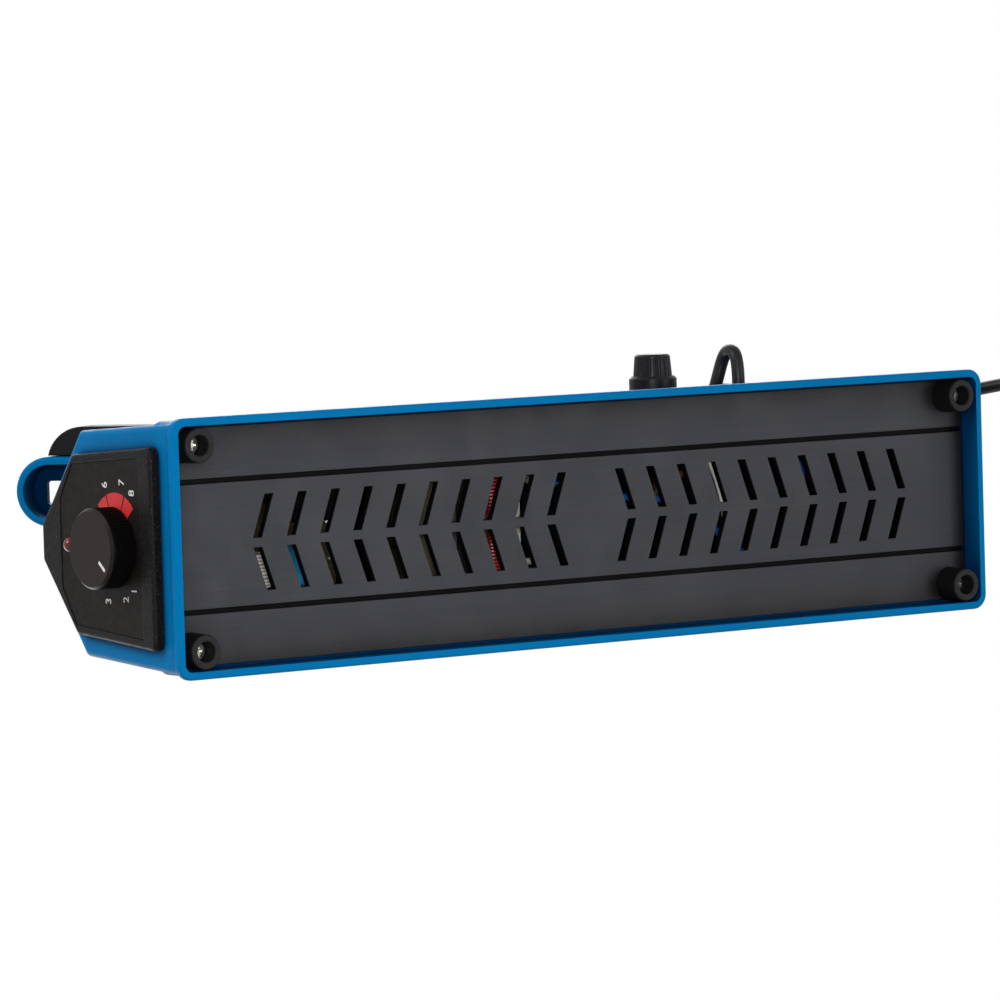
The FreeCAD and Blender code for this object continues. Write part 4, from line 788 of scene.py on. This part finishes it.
def coilPoint(turn):
    middle = cordLine["turnsIn"] + cordLine["crossover"] / 2
    inner = cordLine["coilRadius"] - cordLine["coilPitch"] * middle
    reach = inner + cordLine["coilPitch"] * abs(turn - middle)
    climb = min(1.0, max(0.0, (turn - cordLine["turnsIn"]) / cordLine["crossover"]))
    rise = cordLine["coilPitch"] * (1 - math.cos(math.pi * climb)) / 2
    angle = math.pi / 2 + 2 * math.pi * turn
    x, y = cordLine["coilCentre"]
    return (x + reach * math.cos(angle), y + reach * math.sin(angle), cordLine["coilFloor"] + rise)


def cordPoints():
    total = cordLine["turnsIn"] + cordLine["crossover"] + cordLine["turnsOut"]
    steps = int(total * cordLine["pointsPerTurn"])
    coil = [coilPoint(total * index / steps) for index in range(steps + 1)]
    x, y, z = coil[-1]
    leadStart = y - cordLine["diameter"]
    leadEnd = leadStart - cordLine["plugLead"]
    straight = cordLine["plugLeadStraight"]
    lead = [(x, leadStart, z), (x, leadStart - straight, z),
            (x, leadEnd + straight, cordLine["plugHeight"]), (x, leadEnd, cordLine["plugHeight"])]
    return cordLine["route"] + coil + lead


def addCord():
    points = cordPoints()
    curve = bpy.data.curves.new("mainsCord", "CURVE")
    curve.dimensions = "3D"
    spline = curve.splines.new("NURBS")
    spline.points.add(len(points) - 1)
    for spot, point in zip(spline.points, points):
        spot.co = (*point, 1.0)
    spline.order_u = cordLine["curveOrder"]
    spline.use_endpoint_u = True
    spline.resolution_u = cordLine["curveSteps"]
    curve.bevel_depth = cordLine["diameter"] / 2
    curve.bevel_resolution = cordLine["ringSteps"]
    curve.use_fill_caps = True
    cord = bpy.data.objects.new("mainsCord", curve)
    bpy.context.scene.collection.objects.link(cord)
    curve.materials.append(finishes["cordBlack"])
    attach(cord, "base")
    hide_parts("power_cord", "cord_coil", "plug_lead")


addCord()
print("cord laid")


# Red enamelled turns below the transformer's spool, seen through the slots
redTurns = {
    "middle": (0.0312, 0.0, 0.0140),
    "radius": 0.0030,
    "wire": 0.0010,
    "pitch": 0.00112,
    "turns": 26,
    "steps": 18,
    "sides": 10,
    "flatten": 0.55,
}


def addRedTurns():
    deselectAll()
    bpy.ops.mesh.primitive_circle_add(vertices=redTurns["sides"], radius=redTurns["wire"] / 2,
                                      location=(redTurns["radius"], 0, 0))
    bpy.ops.object.transform_apply(location=True)
    winding = bpy.context.object
    screw = winding.modifiers.new("turns", "SCREW")
    screw.axis = "Y"
    screw.screw_offset = redTurns["pitch"]
    screw.iterations = redTurns["turns"]
    screw.steps = redTurns["steps"]
    screw.render_steps = redTurns["steps"]
    bpy.ops.object.modifier_apply(modifier="turns")
    bpy.ops.object.mode_set(mode="EDIT")
    bpy.ops.mesh.select_all(action="SELECT")
    bpy.ops.mesh.fill_holes(sides=redTurns["sides"])
    bpy.ops.mesh.select_all(action="SELECT")
    bpy.ops.mesh.normals_make_consistent(inside=False)
    bpy.ops.object.mode_set(mode="OBJECT")
    bpy.ops.object.shade_smooth()
    x, y, z = redTurns["middle"]
    winding.location = (x, y - redTurns["pitch"] * redTurns["turns"] / 2, z)
    winding.scale = (1, 1, redTurns["flatten"])
    settle(winding, "redTurns", finishes["enamelRed"], "base")


addRedTurns()
print("red turns wound")


# White lead that lies behind the fourth slot of the rear group
whiteLead = {
    "centre": (-0.0160, -0.0073, 0.0142),
    "bend": 0.045,
    "wire": 0.0026,
    "cutX": -0.040,
    "endsY": (-0.0120, 0.0170),
    "steps": 120,
    "sides": 14,
    "crease": 40.0,
}


def addWhiteLead():
    deselectAll()
    bpy.ops.mesh.primitive_torus_add(
        location=whiteLead["centre"], major_radius=whiteLead["bend"], minor_radius=whiteLead["wire"] / 2,
        major_segments=whiteLead["steps"], minor_segments=whiteLead["sides"])
    lead = bpy.context.object
    low, high = whiteLead["endsY"]
    cuts = [((whiteLead["cutX"], 0, 0), (1, 0, 0)),
            ((0, high, 0), (0, 1, 0)),
            ((0, low, 0), (0, -1, 0))]
    bpy.ops.object.mode_set(mode="EDIT")
    for place, outward in cuts:
        bpy.ops.mesh.select_all(action="SELECT")
        bpy.ops.mesh.bisect(plane_co=place, plane_no=outward, use_fill=True, clear_outer=True)
    bpy.ops.mesh.select_all(action="SELECT")
    bpy.ops.mesh.normals_make_consistent(inside=False)
    bpy.ops.object.mode_set(mode="OBJECT")
    bpy.ops.object.shade_smooth_by_angle(angle=math.radians(whiteLead["crease"]))
    settle(lead, "whiteLead", finishes["milkWhite"], "base")


addWhiteLead()
print("white lead bent")


# Print on the dial: numbers round the knob and three red sectors
dialPrint = {
    "middle": (0.0032, 0.0315),
    "ink": 0.00006,
    "digitSize": 0.0043,
    "digitTurn": (90.0, 0.0, 90.0),
    "digits": {
        "1": (-0.0131, 0.0220),
        "2": (-0.0159, 0.0268),
        "3": (-0.0168, 0.0370),
        "4": (-0.0076, 0.0482),
        "5": (0.0080, 0.0482),
        "6": (0.0191, 0.0372),
        "7": (0.0201, 0.0273),
        "8": (0.0170, 0.0218),
    },
    "sectorInner": 0.0060,
    "sectorOuter": 0.0137,
    "sectorEnds": (-50.0, -22.5, 21.5, 47.5),  # degrees from +Y towards +Z
    "sectorGap": 2.6,
    "sectorSteps": 10,
}
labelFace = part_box("dial_label")[1].x


def addDigits():
    digits = []
    turn = [math.radians(angle) for angle in dialPrint["digitTurn"]]
    for text, (y, z) in dialPrint["digits"].items():
        deselectAll()
        bpy.ops.object.text_add(location=(labelFace, y, z), rotation=turn)
        digit = bpy.context.object
        digit.data.body = text
        digit.data.size = dialPrint["digitSize"]
        digit.data.align_x = "CENTER"
        digit.data.align_y = "CENTER"
        digit.data.extrude = dialPrint["ink"]
        bpy.ops.object.convert(target="MESH")
        digits.append(bpy.context.object)
    settle(joinPieces(digits), "dialNumbers", finishes["inkWhite"], "base")


def addSector(start, end):
    deselectAll()
    bpy.ops.mesh.primitive_plane_add(size=dialPrint["sectorOuter"])
    sector = bpy.context.object
    # only the edge between the first two corners stays, to lie across the ring and be spun
    for vertex in sector.data.vertices:
        vertex.select = vertex.index > 1
    for edge in sector.data.edges:
        edge.select = False
    for face in sector.data.polygons:
        face.select = False
    bpy.ops.object.mode_set(mode="EDIT")
    bpy.ops.mesh.delete(type="VERT")
    bpy.ops.object.mode_set(mode="OBJECT")
    y, z = dialPrint["middle"]
    angle = math.radians(start)
    for vertex, reach in zip(sector.data.vertices, (dialPrint["sectorInner"], dialPrint["sectorOuter"])):
        vertex.co = (labelFace, y + reach * math.cos(angle), z + reach * math.sin(angle))
        vertex.select = True
    for edge in sector.data.edges:
        edge.select = True
    bpy.ops.object.mode_set(mode="EDIT")
    bpy.ops.mesh.spin(steps=dialPrint["sectorSteps"], angle=math.radians(start - end),
                      center=(labelFace, y, z), axis=(1, 0, 0))
    bpy.ops.mesh.select_all(action="SELECT")
    bpy.ops.mesh.normals_make_consistent(inside=False)
    bpy.ops.object.mode_set(mode="OBJECT")
    wall = sector.modifiers.new("ink", "SOLIDIFY")
    wall.thickness = dialPrint["ink"] * 2
    wall.offset = 0
    bpy.ops.object.modifier_apply(modifier="ink")
    return sector


def addSectors():
    ends = dialPrint["sectorEnds"]
    gap = dialPrint["sectorGap"] / 2
    sectors = [addSector(low + gap, high - gap) for low, high in zip(ends, ends[1:])]
    settle(joinPieces(sectors), "dialSectors", finishes["inkRed"], "base")


addDigits()
addSectors()
print("dial printed")


# Studio: soft lamps, white surroundings and a pale floor, clear from below and white far off
studio = {
    "floorSize": 8.0,
    "floorColour": (0.86, 0.86, 0.86),
    "floorCloud": {"scale": 2.0, "detail": 3.0, "span": (0.3, 0.7), "shade": 0.98},
    "floorShine": {"rough": 0.9, "specular": 0.1},
    "floorDrop": 0.0002,
    "floorFade": (0.30, 1.10),
    "ambient": 0.15,
    "lamps": {
        "keyLamp": {"place": (1.00, 0.70, 0.30), "size": 0.60, "power": 8.0},
        "plateLamp": {"place": (-1.05, 0.05, -1.90), "size": 0.90, "power": 17.0},
        "nearLamp": {"place": (0.62, 0.16, -0.84), "size": 0.30, "power": 6.4},
        "sideLamp": {"place": (0.2, -0.9, 1.7), "size": 1.2, "power": 12.0},
        "overLamp": {"place": (-0.9, 0.9, 1.7), "size": 1.4, "power": 22.0},
    },
    "aim": (0.0, 0.0, 0.06),
    "white": (1.0, 1.0, 1.0, 1.0),
}


def addFloor():
    deselectAll()
    bpy.ops.mesh.primitive_plane_add(size=studio["floorSize"], location=(0, 0, -studio["floorDrop"]))
    floor = bpy.context.object
    floor.name = "paleFloor"
    material, tree, shader = newMaterial("floorPale")
    look = studio["floorCloud"]
    cloud = remap(tree, noise(tree, objectPoints(tree), look["scale"], look["detail"]), look["span"])
    tint = mixColours(tree, cloud, shade(studio["floorColour"], look["shade"]), studio["floorColour"])
    tree.links.new(tint, shader.inputs["Base Color"])
    setShader(shader, **studio["floorShine"])
    away = addNode(tree, "ShaderNodeVectorMath", operation="LENGTH")
    tree.links.new(objectPoints(tree), away.inputs[0])
    far = remap(tree, away.outputs["Value"], studio["floorFade"])
    white = addNode(tree, "ShaderNodeEmission", {"Color": studio["white"], "Strength": 1.0})
    side = addNode(tree, "ShaderNodeNewGeometry")
    clear = addNode(tree, "ShaderNodeBsdfTransparent")
    surface = mixShaders(tree, far, shader.outputs["BSDF"], white.outputs["Emission"])
    surface = mixShaders(tree, side.outputs["Backfacing"], surface, clear.outputs["BSDF"])
    tree.links.new(surface, tree.nodes["Material Output"].inputs["Surface"])
    floor.data.materials.append(material)
    floor.visible_diffuse = False
    floor.visible_glossy = False
    floor.visible_transmission = False
    floor.visible_shadow = False


def addLamps():
    for name, lamp in studio["lamps"].items():
        light = bpy.data.lights.new(name, "AREA")
        light.size = lamp["size"]
        light.energy = lamp["power"]
        holder = bpy.data.objects.new(name, light)
        bpy.context.scene.collection.objects.link(holder)
        holder.location = lamp["place"]
        aim = Vector(studio["aim"]) - Vector(lamp["place"])
        holder.rotation_euler = aim.to_track_quat("-Z", "Y").to_euler()
        holder.visible_camera = False


def addSurroundings():
    world = bpy.data.worlds.new("whiteStudio")
    bpy.context.scene.world = world
    world.use_nodes = True
    tree = world.node_tree
    light = tree.nodes["Background"]
    light.inputs["Color"].default_value = studio["white"]
    light.inputs["Strength"].default_value = studio["ambient"]
    white = addNode(tree, "ShaderNodeBackground", {"Color": studio["white"], "Strength": 1.0})
    path = addNode(tree, "ShaderNodeLightPath")
    seen = calculate(tree, "MAXIMUM", path.outputs["Is Camera Ray"], path.outputs["Is Glossy Ray"])
    seen = calculate(tree, "MAXIMUM", seen, path.outputs["Is Transmission Ray"])
    sky = mixShaders(tree, seen, light.outputs["Background"], white.outputs["Background"])
    tree.links.new(sky, tree.nodes["World Output"].inputs["Surface"])


addFloor()
addLamps()
addSurroundings()
bpy.context.scene.view_settings.view_transform = "Standard"
print("studio lit")
